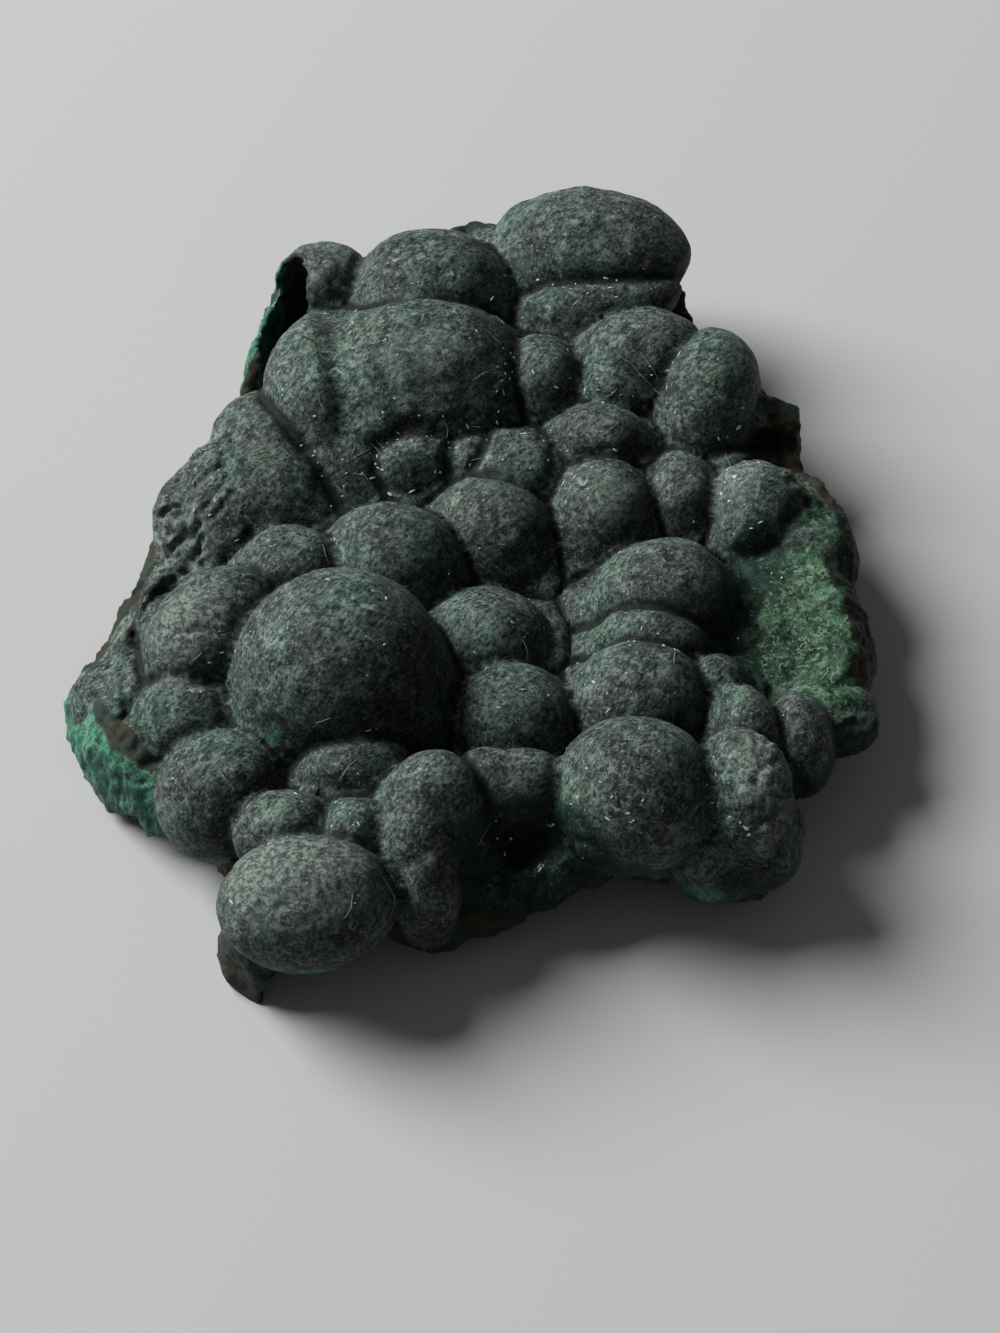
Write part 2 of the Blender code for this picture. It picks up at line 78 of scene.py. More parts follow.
MM = 0.001
SHIFT = (0.0, 1.3)      # moves the tables' plan onto the middle of the frame
HAIR = 0.00002          # how far inside the solid's box the skin stays, in metres
TINY, FAR = 1e-9, 1e9
EDGE = (1.5, 5.5)       # inside the rim, where the lobes' straight sides start and are full


def in_frame(spot: Triple) -> Vector:
    """A point of the tables, in metres in the solid's frame."""
    return Vector((spot[0] + SHIFT[0], spot[1] + SHIFT[1], spot[2])) * MM


def in_tables(points: Array) -> Array:
    """Points in metres turned into the tables' millimetres."""
    return points / MM - np.array([*SHIFT, 0.0])


def moved(points: Array, matrix: Matrix) -> Array:
    """Points put through a matrix."""
    turned = np.array(matrix)
    return points @ turned[:3, :3].T + turned[:3, 3]


def boxed(points: Array) -> Array:
    """Points in metres kept a hair inside the solid's box."""
    low, high = (np.array(side) for side in SOLID_BOX)
    return np.clip(points, low + (HAIR, HAIR, 0.0), high - HAIR)


def smooth(value: Array, low: float, high: float) -> Array:
    """Numbers eased from 0 at low to 1 at high, which may be below low."""
    share = np.clip((value - low) / (high - low), 0.0, 1.0)
    return share * share * (3.0 - 2.0 * share)


def off_line(plan: Array, start: Array, end: Array) -> Array:
    """How far plan points lie from a straight piece of a line.

    Args:
        plan: x and y of the points, one point a row.
        start: the piece's first end.
        end: its other end.

    Returns:
        The distances.
    """
    side = end - start
    along = np.clip((plan - start) @ side / (side @ side), 0.0, 1.0)
    return np.linalg.norm(plan - start - along[:, None] * side, axis=1)


def within(plan: Array, outline: Line) -> Array:
    """How far plan points lie inside an outline.

    Args:
        plan: x and y in the tables' frame, one point a row.
        outline: its corners, x and y first.

    Returns:
        Distance to the outline, less than 0 outside it.
    """
    away = np.full(len(plan), FAR)
    inside = np.zeros(len(plan), dtype=bool)
    corners = [np.array(row[:2], dtype=float) for row in outline]
    for start, end in zip(corners, corners[1:] + corners[:1]):
        away = np.minimum(away, off_line(plan, start, end))
        spans = (start[1] > plan[:, 1]) != (end[1] > plan[:, 1])
        run, rise = end - start
        reach = start[0] + (plan[:, 1] - start[1]) * run / (rise or TINY)
        inside ^= spans & (plan[:, 0] < reach)
    return np.where(inside, away, -away)


def linked(name: str, data: bpy.types.ID) -> Piece:
    """Put an object that holds the data into the scene.

    Args:
        name: the object's name.
        data: its mesh, light or camera.

    Returns:
        The object.
    """
    made = bpy.data.objects.new(name, data)
    bpy.context.scene.collection.objects.link(made)
    return made


def meshed(name: str, body: Body) -> Mesh:
    """Turn a body into a mesh.

    Args:
        name: the mesh's name.
        body: the body, which is used up.

    Returns:
        The mesh.
    """
    mesh = bpy.data.meshes.new(name)
    body.to_mesh(mesh)
    body.free()
    return mesh


def ball_body(matrix: Matrix, rounds: int) -> Body:
    """Make a unit ball of triangles and put it through a matrix.

    Args:
        matrix: what the ball is put through.
        rounds: how often its triangles are split.

    Returns:
        The ball's body.
    """
    body = bmesh.new()
    bmesh.ops.create_icosphere(body, subdivisions=rounds, radius=1.0, matrix=matrix)
    return body


def rows_of(values: bpy.types.bpy_prop_collection, what: str) -> Array:
    """Read the three numbers that each of a mesh's values has.

    Args:
        values: the values, one a vertex.
        what: the name of the numbers.

    Returns:
        The numbers, one row a vertex.
    """
    found = np.empty(len(values) * 3)
    values.foreach_get(what, found)
    return found.reshape(-1, 3)


def places(mesh: Mesh) -> Array:
    """A mesh's vertices, in metres."""
    return rows_of(mesh.vertices, "co")


def facings(mesh: Mesh) -> Array:
    """Outward directions at a mesh's vertices."""
    return rows_of(mesh.vertex_normals, "vector")


def put(mesh: Mesh, points: Array) -> None:
    """Move a mesh's vertices to the points."""
    mesh.vertices.foreach_set("co", points.ravel())
    mesh.update()


@dataclass(frozen=True)
class Ball:
    """One ellipsoid of the stone, in millimetres, turned about the upright."""

    name: str
    centre: Triple
    radii: Triple
    turn: float = 0.0

    def matrix(self) -> Matrix:
        """Say how a unit ball becomes this ellipsoid, in metres.

        Returns:
            The transform.
        """
        spin = Euler((0.0, 0.0, math.radians(self.turn))).to_matrix().to_4x4()
        size = Matrix.Diagonal((*[radius * MM for radius in self.radii], 1.0))
        return Matrix.Translation(in_frame(self.centre)) @ spin @ size

    def inside(self, points: Array) -> Array:
        """How deep points lie in it: 1 at its centre, 0 on its skin, less than 0 outside."""
        return 1.0 - np.linalg.norm(moved(points, self.matrix().inverted()), axis=1)


@dataclass(frozen=True)
class Lobe(Ball):
    """A lobe: an ellipsoid whose sides stop curving at a slope and run straight down."""

    slope: float = 55.0     # in degrees
    down: float = 5.0       # its radius downward, in millimetres


@dataclass(frozen=True)
class Chunk:
    """A lump of matrix: an ellipsoid trimmed by flat breaks."""

    ball: Ball
    breaks: tuple[tuple[Triple, float], ...] = ()


# The broken rim of the plate, clockwise seen from above, starting at the left corner:
# x, y, height of its upper edge, height of its lower edge, how far the lower edge stands out.
RIM: tuple[Row, ...] = (
    (-37, -16.6, 7.2, 1.4, 1.2), (-34.8, -7.4, 4.6, 0.6, -0.4), (-30.8, 3.6, 4.4, 0.5, -0.4),
    (-26.6, 14.6, 4.6, 0.8, -0.8), (-22.8, 23.8, 6, 1, -1), (-21, 31, 7.4, 1.6, -1.4),
    (-18.8, 36.4, 9, 2.2, -1.8), (-13, 39.2, 9.2, 2, -1.4), (-6, 41.2, 8.4, 1.6, -0.8),
    (-0.4, 42.4, 11.4, 1.8, -0.8), (4, 44.2, 11.2, 2, -1), (10, 44.6, 8.4, 2, -1),
    (17, 42.8, 8, 2.4, -1), (21.4, 38, 8.8, 2.6, -1.2), (22.6, 30.4, 8.6, 2.2, -1),
    (27.4, 25.4, 8, 2, -0.8), (29.8, 17.4, 10, 2.4, -0.6), (32, 11.8, 8, 3, -1),
    (35.8, 3.4, 9, 3.8, -1.6), (36.9, -5.4, 9.4, 4.6, -2), (36.4, -12.6, 9.2, 5, -2.6),
    (35.6, -18.6, 7.6, 5.2, -3), (30.6, -20.8, 6, 4.4, -2.4), (29.6, -28.6, 5.6, 3.4, -1.8),
    (28, -35, 4.6, 2.8, -1.2), (23.2, -37.4, 4.2, 2.8, -0.8), (19.6, -35.2, 5.2, 4.4, -0.8),
    (15.4, -33.4, 6, 5, -1), (11.4, -35.8, 4.8, 3.6, -0.6), (7.8, -37.2, 4.6, 3.2, -0.4),
    (2.8, -39.4, 4.4, 2.4, 0), (-2.6, -41.2, 4, 1.6, 0.2), (-7.6, -40.4, 4.6, 2.8, -0.6),
    (-13, -42, 5.4, 4, -1), (-19.2, -41, 5.4, 2, -0.4), (-21.2, -34.4, 4.8, 1.6, 0),
    (-24.4, -30.6, 4.8, 2, 0.2), (-28, -27.6, 7.4, 1.4, 1.6), (-30.6, -24.2, 7.8, 1.2, 2),
    (-33.2, -21.6, 7.8, 1, 1.6),
)

# Lobes: name, centre, radii, turn, slope of its straight sides, radius downward.
LOBES: tuple[Lobe, ...] = tuple(Lobe(row[0], row[1:4], row[4:7], *row[7:]) for row in (
    # front left
    ("great dome", -11.6, -17.5, 11.5, 9.7, 9.5, 9.5, 0, 72, 9.5),
    ("left dome", -21.9, -28.5, 7.8, 5.9, 6, 5.7, 0, 70, 6.3),
    ("left shoulder", -25.6, -20.3, 9.1, 4.9, 5, 3.3, 30, 61, 5.5),
    ("left crescent", -23.3, -12, 10.4, 5.6, 7.8, 5.5, -35, 64, 7.2),
    ("left bud", -29.9, -16.3, 8, 3.4, 5, 3, -20, 61, 5),
    ("corner bud", -33.2, -16.8, 6.8, 3.2, 4, 2.4, 0, 61, 4),
    ("crescent cap", -16.7, -4.8, 11.9, 4.8, 4.3, 2.9, 0, 61, 4.7),
    ("front dome", -13.6, -41.3, 9.5, 7.7, 6.2, 5.5, 4, 68, 5),
    ("saddle dome", -10, -27, 9.6, 5.4, 4.6, 4.2, 0, 64, 5.1),
    ("saddle bud left", -15.8, -34.4, 9.9, 4.6, 4.2, 3.8, 0, 62, 4.6),
    ("saddle bud right", -10, -34.8, 9.9, 4, 3.6, 3.4, 0, 62, 4.2),
    ("column head", -2.8, -32.2, 11.2, 5.1, 4.6, 5.1, 22, 66, 5.9),
    ("column middle", -4, -35.2, 9.3, 4.1, 4.8, 5.7, 0, 68, 6.4),
    ("column foot", -3.5, -38, 7, 3, 4.2, 6.2, 0, 70, 6.6),
    ("brow left", 1.8, -30.2, 11.5, 4.6, 3.2, 3.5, 0, 64, 4.4),
    ("brow right", 4.8, -30.3, 11.5, 4.6, 3.3, 3.5, 0, 64, 4.4),
    # middle
    ("back of great dome", -7.5, -3.1, 11.7, 5.8, 5.6, 3.8, 0, 61, 6.2),
    ("middle dome", 2, 2.2, 9.7, 5.4, 5.6, 4, 0, 61, 6.4),
    ("middle hood", 4.2, 8.8, 10.5, 4.6, 4.8, 3.2, 0, 61, 5.2),
    ("middle crest", 12.3, 12.4, 11, 5, 4.2, 3.2, 0, 61, 5.2),
    ("middle right", 12.7, 4.6, 9.7, 4.9, 5.6, 4, 0, 61, 6.4),
    ("narrow bud", 20.1, 6.7, 9.9, 3.4, 4.4, 2.9, 0, 61, 4.7),
    ("low bud left", -5.3, 10.4, 11.3, 4.5, 3.3, 2.2, 8, 59, 3.1),
    ("low bud right", -0.2, 10, 11, 3.4, 2.7, 2.1, 0, 59, 2.6),
    ("valley dome", 1.2, -11.1, 8.6, 6, 5.6, 4.2, 0, 66, 5.8),
    ("valley mouth", 4, -20.3, 8.6, 5.6, 5.4, 4.4, 0, 68, 5.6),
    # right
    ("right back dome", 18, -6.5, 9.8, 6.3, 6, 4.4, 0, 66, 6),
    ("right lens", 16.8, -12.2, 9.2, 5.2, 5, 3.9, 0, 62, 5.3),
    ("right mid dome", 15.5, -18.5, 9.6, 6, 5.6, 4.4, 0, 67, 5.6),
    ("right front dome", 14.5, -31, 11.1, 7.2, 7.1, 6.9, 0, 71, 7.1),
    ("right bud", 22.4, -16.8, 9.7, 2.6, 2.6, 2.2, 0, 62, 2.6),
    ("right neck", 24.7, -22.8, 9.9, 3, 4.6, 3.4, 8, 62, 3.6),
    ("right ridge", 24.3, -30.3, 9.5, 4.6, 6.6, 7, 14, 70, 7),
    ("right flank", 25.5, -31, 6.5, 4.4, 7, 5.4, 0, 70, 5.4),
    ("right toe", 22.6, -34, 6, 5.2, 4.4, 4.2, 0, 68, 4.2),
    ("right lip", 32.2, -18.4, 7, 5, 2.9, 2.7, 8, 68, 2.8),
    ("right wall", 29.7, -22.1, 7, 3.4, 5, 4.6, 0, 68, 4.6),
    ("edge dome", 27.7, 4.8, 10.5, 4.4, 4.6, 3, 0, 61, 5),
    ("edge bud", 24.4, 11.1, 9.2, 3, 2.8, 1.9, 0, 59, 3.3),
    ("tall edge dome", 23.5, 18.6, 12, 4.8, 6.7, 4.8, -8, 62, 6.8),
    # back
    ("back crest", 16.9, 23.1, 13.2, 5.8, 4.8, 3, 10, 59, 5.4),
    ("back crest foot", 13.6, 19, 11.8, 3.6, 3.6, 2.2, 0, 59, 3.8),
    ("back bud", 6.5, 20.3, 12.2, 4.1, 4.6, 3.2, 0, 59, 5.6),
    ("back saddle", 13.2, 30.6, 12.7, 8.2, 4.2, 2.6, 14, 59, 4.4),
    ("back dome", 12, 37.4, 13.2, 10.2, 7.4, 5, -7, 62, 6.8),
    ("back left dome", -4.2, 31.3, 14, 7, 7, 4.2, 0, 60, 6.2),
    ("back left block", -15.1, 33.3, 12.4, 4.9, 4.8, 3.6, 0, 60, 4.8),
    ("high dome", -4.5, 20.4, 14.8, 7.5, 7, 3.8, 0, 57, 6.6),
    ("high dome link", -9.8, 19.4, 13.9, 6.6, 7.2, 3.6, 0, 56, 6.6),
    ("high dome flank", -14.6, 19, 13.2, 5.2, 7.6, 3.7, 0, 55, 6.4),
    ("high dome apron", -12.6, 14.4, 9.4, 7.2, 9, 4.3, 0, 56, 5),
    ("slope head", -19.1, 13, 10.4, 6, 6.4, 3.4, 20, 56, 6.1),
    ("slope", -20.6, 7.8, 9.8, 7.4, 6.6, 3.7, 0, 54, 6.3),
    ("slope edge", -25.7, 7.1, 6.9, 4.8, 7, 3.5, -20, 56, 5.3),
))

# Chunks: name, centre, radii, turn, then each break's outward direction and distance.
CHUNKS: tuple[Chunk, ...] = tuple(Chunk(Ball(*row[:4]), row[4]) for row in (
    ("right slab", (31, -8.6, 4.4), (7, 11.6, 7.6), 10, (((-0.36, -0.1, 0.93), 4.9),
     ((0.98, 0.18, -0.1), 6), ((0.2, -1, 0.1), 9.4), ((0.3, -0.12, -0.95), 1))),
    ("edge slab", (28.2, 14.6, 7.4), (5.6, 5.4, 7.6), 0, (((0.1, -1, 0.05), 0.8),
     ((1, 0.06, 0.06), 4.3), ((0.25, 0.1, 0.96), 4), ((-0.3, 0.95, 0.1), 4.2),
     ((0.15, 0.05, -0.98), 4.6))),
    ("edge ridge", (32.2, 3.2, 7.6), (4.6, 7.4, 4.8), 20, (((0.92, 0.3, 0.25), 3.7),
     ((0.1, 0.2, 0.97), 3.4))),
    ("back ledge", (1.2, 39.6, 9.6), (5.4, 4.4, 4.6), 0, (((0.3, 0.92, 0.25), 3.4),
     ((-0.6, 0.76, 0.2), 4), ((0.1, 0.1, 0.99), 3.2))),
    ("cavity wall", (-20.2, 30.6, 5.4), (2.9, 8.8, 6.4), -14, (((-0.97, 0.24, 0.1), 1.7),
     ((-0.3, 0.1, 0.95), 4.2), ((-0.2, 0.1, -0.97), 4.2))),
    ("slope ledge", (-30.6, -4.4, 4.4), (3.4, 9.4, 3.8), -18, (((-0.78, 0.22, 0.58), 2),)),
    ("upper floor", (-7, 9.6, 7.2), (12, 7, 3.6), 0, ()),
    ("left break", (-30.6, -21.2, 4.6), (4.6, 8.4, 5.6), 34, (((-0.72, -0.68, 0.12), 4.2),)),
    ("right tongue", (32.4, -19.2, 6.6), (5.2, 3.4, 3), 0, ()),
    ("front sill", (17.2, -33.9, 5.7), (5.6, 2.6, 2), -12, (((0.2, -0.96, 0.2), 1.7),)),
    ("front floor", (4.6, -34.4, 6.4), (6, 5, 4.6), 0, (((-0.1, -0.72, 0.7), 2.7),)),
    ("front lump", (10.6, -35.4, 6.2), (2.2, 1.8, 1.8), 0, ()),
    ("leg", (-18.1, -41.6, 2.4), (3.6, 4.2, 6.4), 14, (((0.82, -0.3, -0.3), 2.3),
     ((-0.6, -0.8, 0), 3.2), ((0.1, 0.96, -0.25), 3.2))),
    ("left foot", (-27.6, -16.6, 2.2), (7.4, 8.6, 2.6), 40, ()),
    ("back left foot", (-12.6, 26.4, 2.3), (9.6, 7.6, 2.7), 24, (((0.5, 0.8, -0.35), 5.2),)),
    ("back right foot", (13.2, 27.6, 2.4), (9.2, 8.4, 2.8), -18, (((-0.7, 0.5, -0.4), 5),)),
    ("right foot", (19.6, -4.6, 2.6), (7.8, 9.8, 3), 12, (((0.9, -0.3, -0.35), 5.4),)),
    ("keel", (-4, 2, 3), (15, 10, 2.6), 25, (((0.25, 0.55, -0.8), 2.3),)),
    ("front keel", (3, -21, 3.4), (11, 8, 2.7), -20, (((0.5, -0.35, -0.8), 2.3),)),
))

SLAB = CHUNKS[0]        # carries the flat green face

HOLLOWS: tuple[Ball, ...] = tuple(Ball(*row) for row in (
    ("cavity", (-18.6, 29.7, 10.2), (2.5, 6, 7.4), -14),
    ("brow hollow", (5.5, -35.9, 11.4), (3.4, 2.8, 3.8), 0),
    ("leg hollow", (-14.8, -44.2, 1.2), (3.3, 3.6, 3.8), 24),
    ("left notch", (-30.4, -27.6, 1.6), (1.6, 1.5, 1.9), 30),
))


class Tint(Enum):
    """What a patch of the skin turns into."""

    FRESH = "fresh"      # bright green where newly broken
    FACE = "face"        # duller, mottled green of the broken shoulder
    DEEP_AND_SHADE = "deep"        # dark green where the crust is thin, and painted shade in a shadowed valley, the hollows and undersides
    BROWN = "brown"      # weathered iron-stained matrix
    PALE = "pale"        # rubbed, pale grey-green
    DARK = "dark"        # painted shade: near-black in open pits and notches


# Places that the crust leaves bare.
BARE: tuple[Ball, ...] = (
    Ball("green face", (31.0, -9.0, 8.0), (6.4, 10.6, 6.0), 10),
    Ball("brow", (6.0, -36.6, 8.0), (7.6, 4.0, 6.0), 0),
)

# Patches of each tint: centre, radii, turn, strength.
PATCHES: dict[Tint, tuple[Row, ...]] = {
    Tint.PALE: (
        (-24.7, 11.8, 11, 1.8, 1.2, 2, 30, 0.9), (-29.2, 3, 8.2, 2.2, 1.8, 2.5, 0, 1),
        (-29, -0.9, 7.4, 2, 1.3, 2.5, 20, 0.8), (-33, -6.6, 5.4, 2.6, 1.1, 2.5, 60, 0.6),
        (25.1, 6.6, 12.2, 2.4, 2.2, 3, 0, 0.8), (24.6, -31.6, 15, 2.6, 4.4, 3.4, 10, 0.7),
        (25.6, -36.4, 11, 1.4, 1.2, 1.6, 10, 1), (26.9, -34.9, 12, 0.5, 2.3, 1.8, -31, 1),
        (19.6, -37.2, 7.4, 2.2, 1, 1.2, -16, 0.8), (-14, -41.6, 14, 9, 6.6, 7, 4, 0.6),
        (-25.4, -16, 15, 5, 8, 5, -35, 0.62), (-27, 2, 8.6, 5, 8.4, 4, -24, 0.46),
        (-14, 33, 16, 6, 6, 4, 0, 0.4), (3.8, 3.8, 13.4, 5, 4, 4, 0, 0.34),
        (13.8, 2.4, 13.2, 4.4, 4, 4, 0, 0.4), (-4.4, 17, 18, 6.4, 5, 5, 0, 0.36),
        (24.6, 6, 12, 5, 6, 4, 0, 0.4), (26, -30.6, 14.6, 1.4, 5.4, 2.6, 12, 0.8),
        (20.6, -36.6, 9, 3.6, 1.4, 1.6, 14, 0.7),
    ),
    # Painted shade: near-black in open pits and notches.
    Tint.DARK: (
        (-28.8, 4.9, 9, 1.6, 0.8, 1.6, 0, 1), (-32.1, -1.3, 4.6, 1.4, 1.4, 2, 0, 0.8),
        (4.6, -34.4, 8.6, 3.4, 2.4, 2.6, 0, 0.7),
    ),
    Tint.FRESH: (
        (-17.2, -25.6, 12.4, 0.9, 0.7, 1.2, 0, 0.9), (17.6, -37, 6.2, 3, 1.6, 1.5, -20, 0.9),
        (20.8, -38, 6.2, 1.9, 1.2, 1.6, -10, 0.8), (-15.4, -47, 6.8, 6, 2.4, 2.2, 6, 0.9),
        (-26.6, -30, 3.4, 3, 2.6, 3.2, 0, 0.7), (-19.6, 33.6, 12.4, 1.6, 2.8, 3, -20, 0.9),
        (-21.6, 28.6, 8.6, 1.3, 7.2, 4.4, -21, 1),
    ),
    Tint.FACE: (
        (33, 1, 10.2, 2.6, 4.2, 2.4, 20, 0.6), (32.8, -18, 10, 5, 2.4, 1.9, 8, 1),
    ),
    # Partly dark green thin crust, partly painted shade: the shadowed valley left of the green
    # face, the hollows and the undersides of the edges.
    Tint.DEEP_AND_SHADE: (
        (-18.4, 29.6, 8, 2.8, 6.6, 6.6, -16, 1), (6, -36, 8.6, 10, 5.6, 7.5, 0, 1),
        (12.6, -36.6, 8, 6, 4, 4.6, 0, 0.6), (24.4, -37, 5, 7, 6, 4.6, 0, 0.5),
        (30.4, -22, 6, 6.5, 8, 4.6, 0, 0.7), (26, -5, 9, 3.8, 8.6, 6, -14, 1),
        (24, -12.4, 9, 3.6, 5, 5, 0, 0.8), (28.6, 3.6, 10, 4, 4, 5, 0, 0.3),
        (-14, -46, 6, 8, 4, 3.6, 0, 0.6), (36.4, -3, 8.4, 2.6, 13, 5, 6, 1),
        (26.6, -4.4, 9, 2.2, 5.4, 3.4, -10, 1), (27.6, -15, 8.4, 3, 2.4, 2.4, 0, 0.5),
        (31, 2.6, 10.6, 4, 3.4, 3, 20, 0.8),
    ),
    Tint.BROWN: (
        (30.4, 13.6, 8.4, 4.6, 3.6, 6, 0, 1), (37.4, -4, 6.4, 2.4, 12, 4.6, 6, 0.5),
        (34, 4.6, 9.6, 2, 3, 2.4, 20, 0.5), (-18, -42.4, 2.2, 4, 4, 3.2, 0, 0.5),
    ),
}

# Places where the skin is broken into ridges and facets: centre, radii, turn, depth.
RUGGED: tuple[Row, ...] = (
    (25, -31, 11, 5.6, 8.6, 8, 12, 0.55), (24, -21, 11, 3.6, 5, 4, 0, 0.4),
    (-29.4, -0.4, 7.4, 5.4, 9.6, 5, -24, 0.6), (-24.4, 8.4, 10.6, 6.4, 7.6, 5, -24, 0.34),
    (6, -36.6, 8.6, 9, 5.4, 7, 0, 0.6), (31.4, 5, 9.6, 4.6, 6, 5, 20, 0.5),
    (30.4, -21, 8, 6.6, 4.6, 5, 0, 0.14), (-14.8, 33.6, 14, 4.4, 4.4, 4, 0, 0.28),
    (-1, 12, 11.5, 15, 8, 4, -6, 0.3), (-14.6, 12, 11, 6, 6, 4, 0, 0.22),
)

# Broken layers that stand over what is round them: step, how far out the ground is down, outline.
LEDGES: tuple[tuple[float, float, Line], ...] = (
    (0.65, 2.4, ((19.6, -35.4), (22.6, -36.2), (25.8, -36.8), (27.9, -33.2), (28.6, -28), (12, -24),
     (12, -33))),
    (0.3, 1.2, ((-24.4, 9.4), (-23.6, 5.6), (-26.8, 1.6), (-29.4, 3), (-27.6, 8.2))),
)

# Cracks and bedding edges cut into the crust: depth, half width, then plan points.
CRACKS: tuple[tuple[float, float, Line], ...] = (
    (0.6, 1.3, ((-13.6, 26), (-12.8, 18.6), (-11.4, 12.6))),
    (0.4, 0.26, ((-30.6, 0.2), (-27.6, 1.5), (-24.6, 2), (-22.4, 3.8))),
    (0.35, 0.24, ((-31.8, -2.6), (-28.8, -1.8), (-26, -1))),
    (0.3, 0.24, ((-29, 4.4), (-26.8, 5.2), (-24, 7))),
    (0.3, 0.22, ((-33.2, -6.4), (-30.8, -5.2), (-28.4, -4.8))),
    (0.55, 0.35, ((-20.6, 0.6), (-24, -2.4), (-27.4, -5.6), (-30, -9.6), (-32.4, -14))),
    (0.4, 0.28, ((-25.6, 0.8), (-28.6, -3.4), (-31, -7.2))),
    (0.35, 0.25, ((-28, 1.4), (-30.4, -0.6), (-32.6, -4.4))),
    (0.35, 0.3, ((-30.8, -12.8), (-31.6, -16), (-30.6, -20.6))),
    (0.25, 0.25, ((-28.4, -14), (-26.2, -15.6), (-22.4, -15.4))),
)

# Pale crumbs caught on the skin: place, length, width, and the heading of the length in degrees.
CRUMBS: tuple[Row, ...] = (
    (5, 27.3, 13.2, 0.45, 0.3, 0), (6.4, 30.8, 14.8, 0.7, 0.35, -30),
    (3.6, 31.8, 14.8, 0.5, 0.25, 0), (5.8, 29, 14.1, 0.3, 0.2, 0),
    (13.9, 29.7, 14.4, 0.7, 0.25, 10), (14.4, 29, 14, 0.5, 0.2, 0),
    (10.3, 27.8, 14.6, 0.9, 0.2, 40), (11.5, 28.9, 14.6, 0.5, 0.2, 40),
    (10.9, 17.1, 13, 1.1, 0.4, 45), (20.2, 19.8, 15.5, 0.9, 0.3, 45),
    (19.5, 19, 15.1, 0.4, 0.2, 60), (4.3, 19.8, 15.3, 0.4, 0.2, 20), (2.6, 15, 15.1, 0.5, 0.2, 60),
    (3.1, 16.4, 15.2, 0.4, 0.2, 45), (2.8, 12.6, 13.4, 0.6, 0.2, -40),
    (5.1, 11.1, 13.2, 1.1, 0.3, 0), (7.1, 11.2, 12.6, 0.5, 0.25, -20),
    (-0.1, 10.5, 13.4, 0.5, 0.2, 20), (7.5, 12.4, 12.4, 0.5, 0.2, -30),
    (7.5, 8.1, 12.7, 0.35, 0.3, 0), (13.9, 9.1, 12.9, 0.7, 0.4, -50),
    (9.9, 5.7, 12.8, 0.8, 0.3, 40), (8.8, 5.6, 12.1, 0.8, 0.25, 20),
    (25.8, 12.5, 12.6, 0.9, 0.4, 50), (26.3, 14.1, 13.7, 0.6, 0.3, 0),
    (24.6, 8.2, 11.5, 0.9, 0.5, -30), (25.1, 5.6, 12.8, 0.7, 0.4, 0),
    (23.9, 4.3, 11.9, 0.7, 0.5, -45), (24.5, 3.1, 12.2, 0.5, 0.4, 0),
    (27.3, 0.8, 11.8, 0.9, 0.25, 30), (26.5, 0.5, 11.3, 0.5, 0.3, 0),
    (14.2, -8.8, 12.8, 0.25, 0.2, 0), (24.8, -10.9, 8.7, 0.4, 0.3, 0),
    (28.3, -3.3, 9.2, 0.4, 0.25, 70), (29.2, -4.1, 9.4, 0.3, 0.25, 0),
    (6.8, -10.8, 10.1, 0.25, 0.2, 0), (12.4, -12.6, 11.1, 0.4, 0.15, 0),
    (22.7, 1.1, 9.4, 0.3, 0.2, 0), (21.2, 2.2, 10.3, 0.3, 0.2, 80),
    (17.4, 18.9, 14.6, 0.3, 0.2, 0), (17.6, 18.2, 14.1, 0.5, 0.25, 20),
    (-9.7, 7.4, 10.6, 1.1, 0.3, 25), (-7.7, 5.8, 10.3, 0.9, 0.35, -30),
    (-5.6, 6.3, 10.4, 0.9, 0.25, 50), (-3.2, 8, 11.1, 0.35, 0.3, 0),
    (-13.2, 4.3, 10.4, 0.35, 0.25, 80), (-14.6, 27.5, 14, 0.45, 0.35, 0),
    (-14.7, 32.6, 15.8, 0.7, 0.25, 40), (-11.6, 27.3, 14.3, 0.5, 0.25, 45),
    (-8.3, 19, 18, 0.6, 0.25, 45), (-5.5, 22.2, 18.3, 0.8, 0.2, 0),
    (-8.7, -23.4, 18.3, 0.35, 0.15, -40), (-22.6, -14.7, 14.2, 0.4, 0.2, 0),
    (-26.3, -20, 12.3, 0.3, 0.2, 0), (-9.2, -44.1, 13.5, 0.4, 0.2, 0),
    (23.9, -35.8, 12.7, 0.8, 0.4, -45), (24.2, -36.2, 12.2, 0.5, 0.4, 0),
    (23.4, -35.4, 13, 0.4, 0.3, 0), (22.6, -30.5, 15.9, 0.9, 0.2, 15),
    (14.1, -36.7, 15.1, 0.3, 0.2, 0), (12.4, -22.2, 12, 0.9, 0.2, 35),
    (9, -34.2, 14.1, 0.5, 0.15, -20), (4, -34.5, 9.3, 0.6, 0.25, -45), (9.8, -14, 9, 0.35, 0.3, 0),
    (-8.4, 12.1, 15.1, 0.5, 0.3, -50), (-8.7, 11.6, 14.7, 0.4, 0.2, -50),
    (-10.8, 11.5, 13.9, 0.3, 0.2, 0), (-15, 11.6, 15.3, 0.5, 0.3, 0),
    (-22, -0.2, 10.2, 0.9, 0.2, 45), (-25.6, 0.1, 8.8, 0.8, 0.2, 45),
    (0.9, -2.5, 11.8, 0.3, 0.2, 0), (-4.8, 11.2, 15.2, 0.4, 0.2, 10),
    (-2.4, 11.2, 15, 0.3, 0.2, 0), (-7.5, 23.8, 17.5, 0.6, 0.2, 0),
    (-24.6, 2.4, 11.1, 0.5, 0.3, 70), (-24.4, 3.6, 11.9, 0.6, 0.2, 80),
)

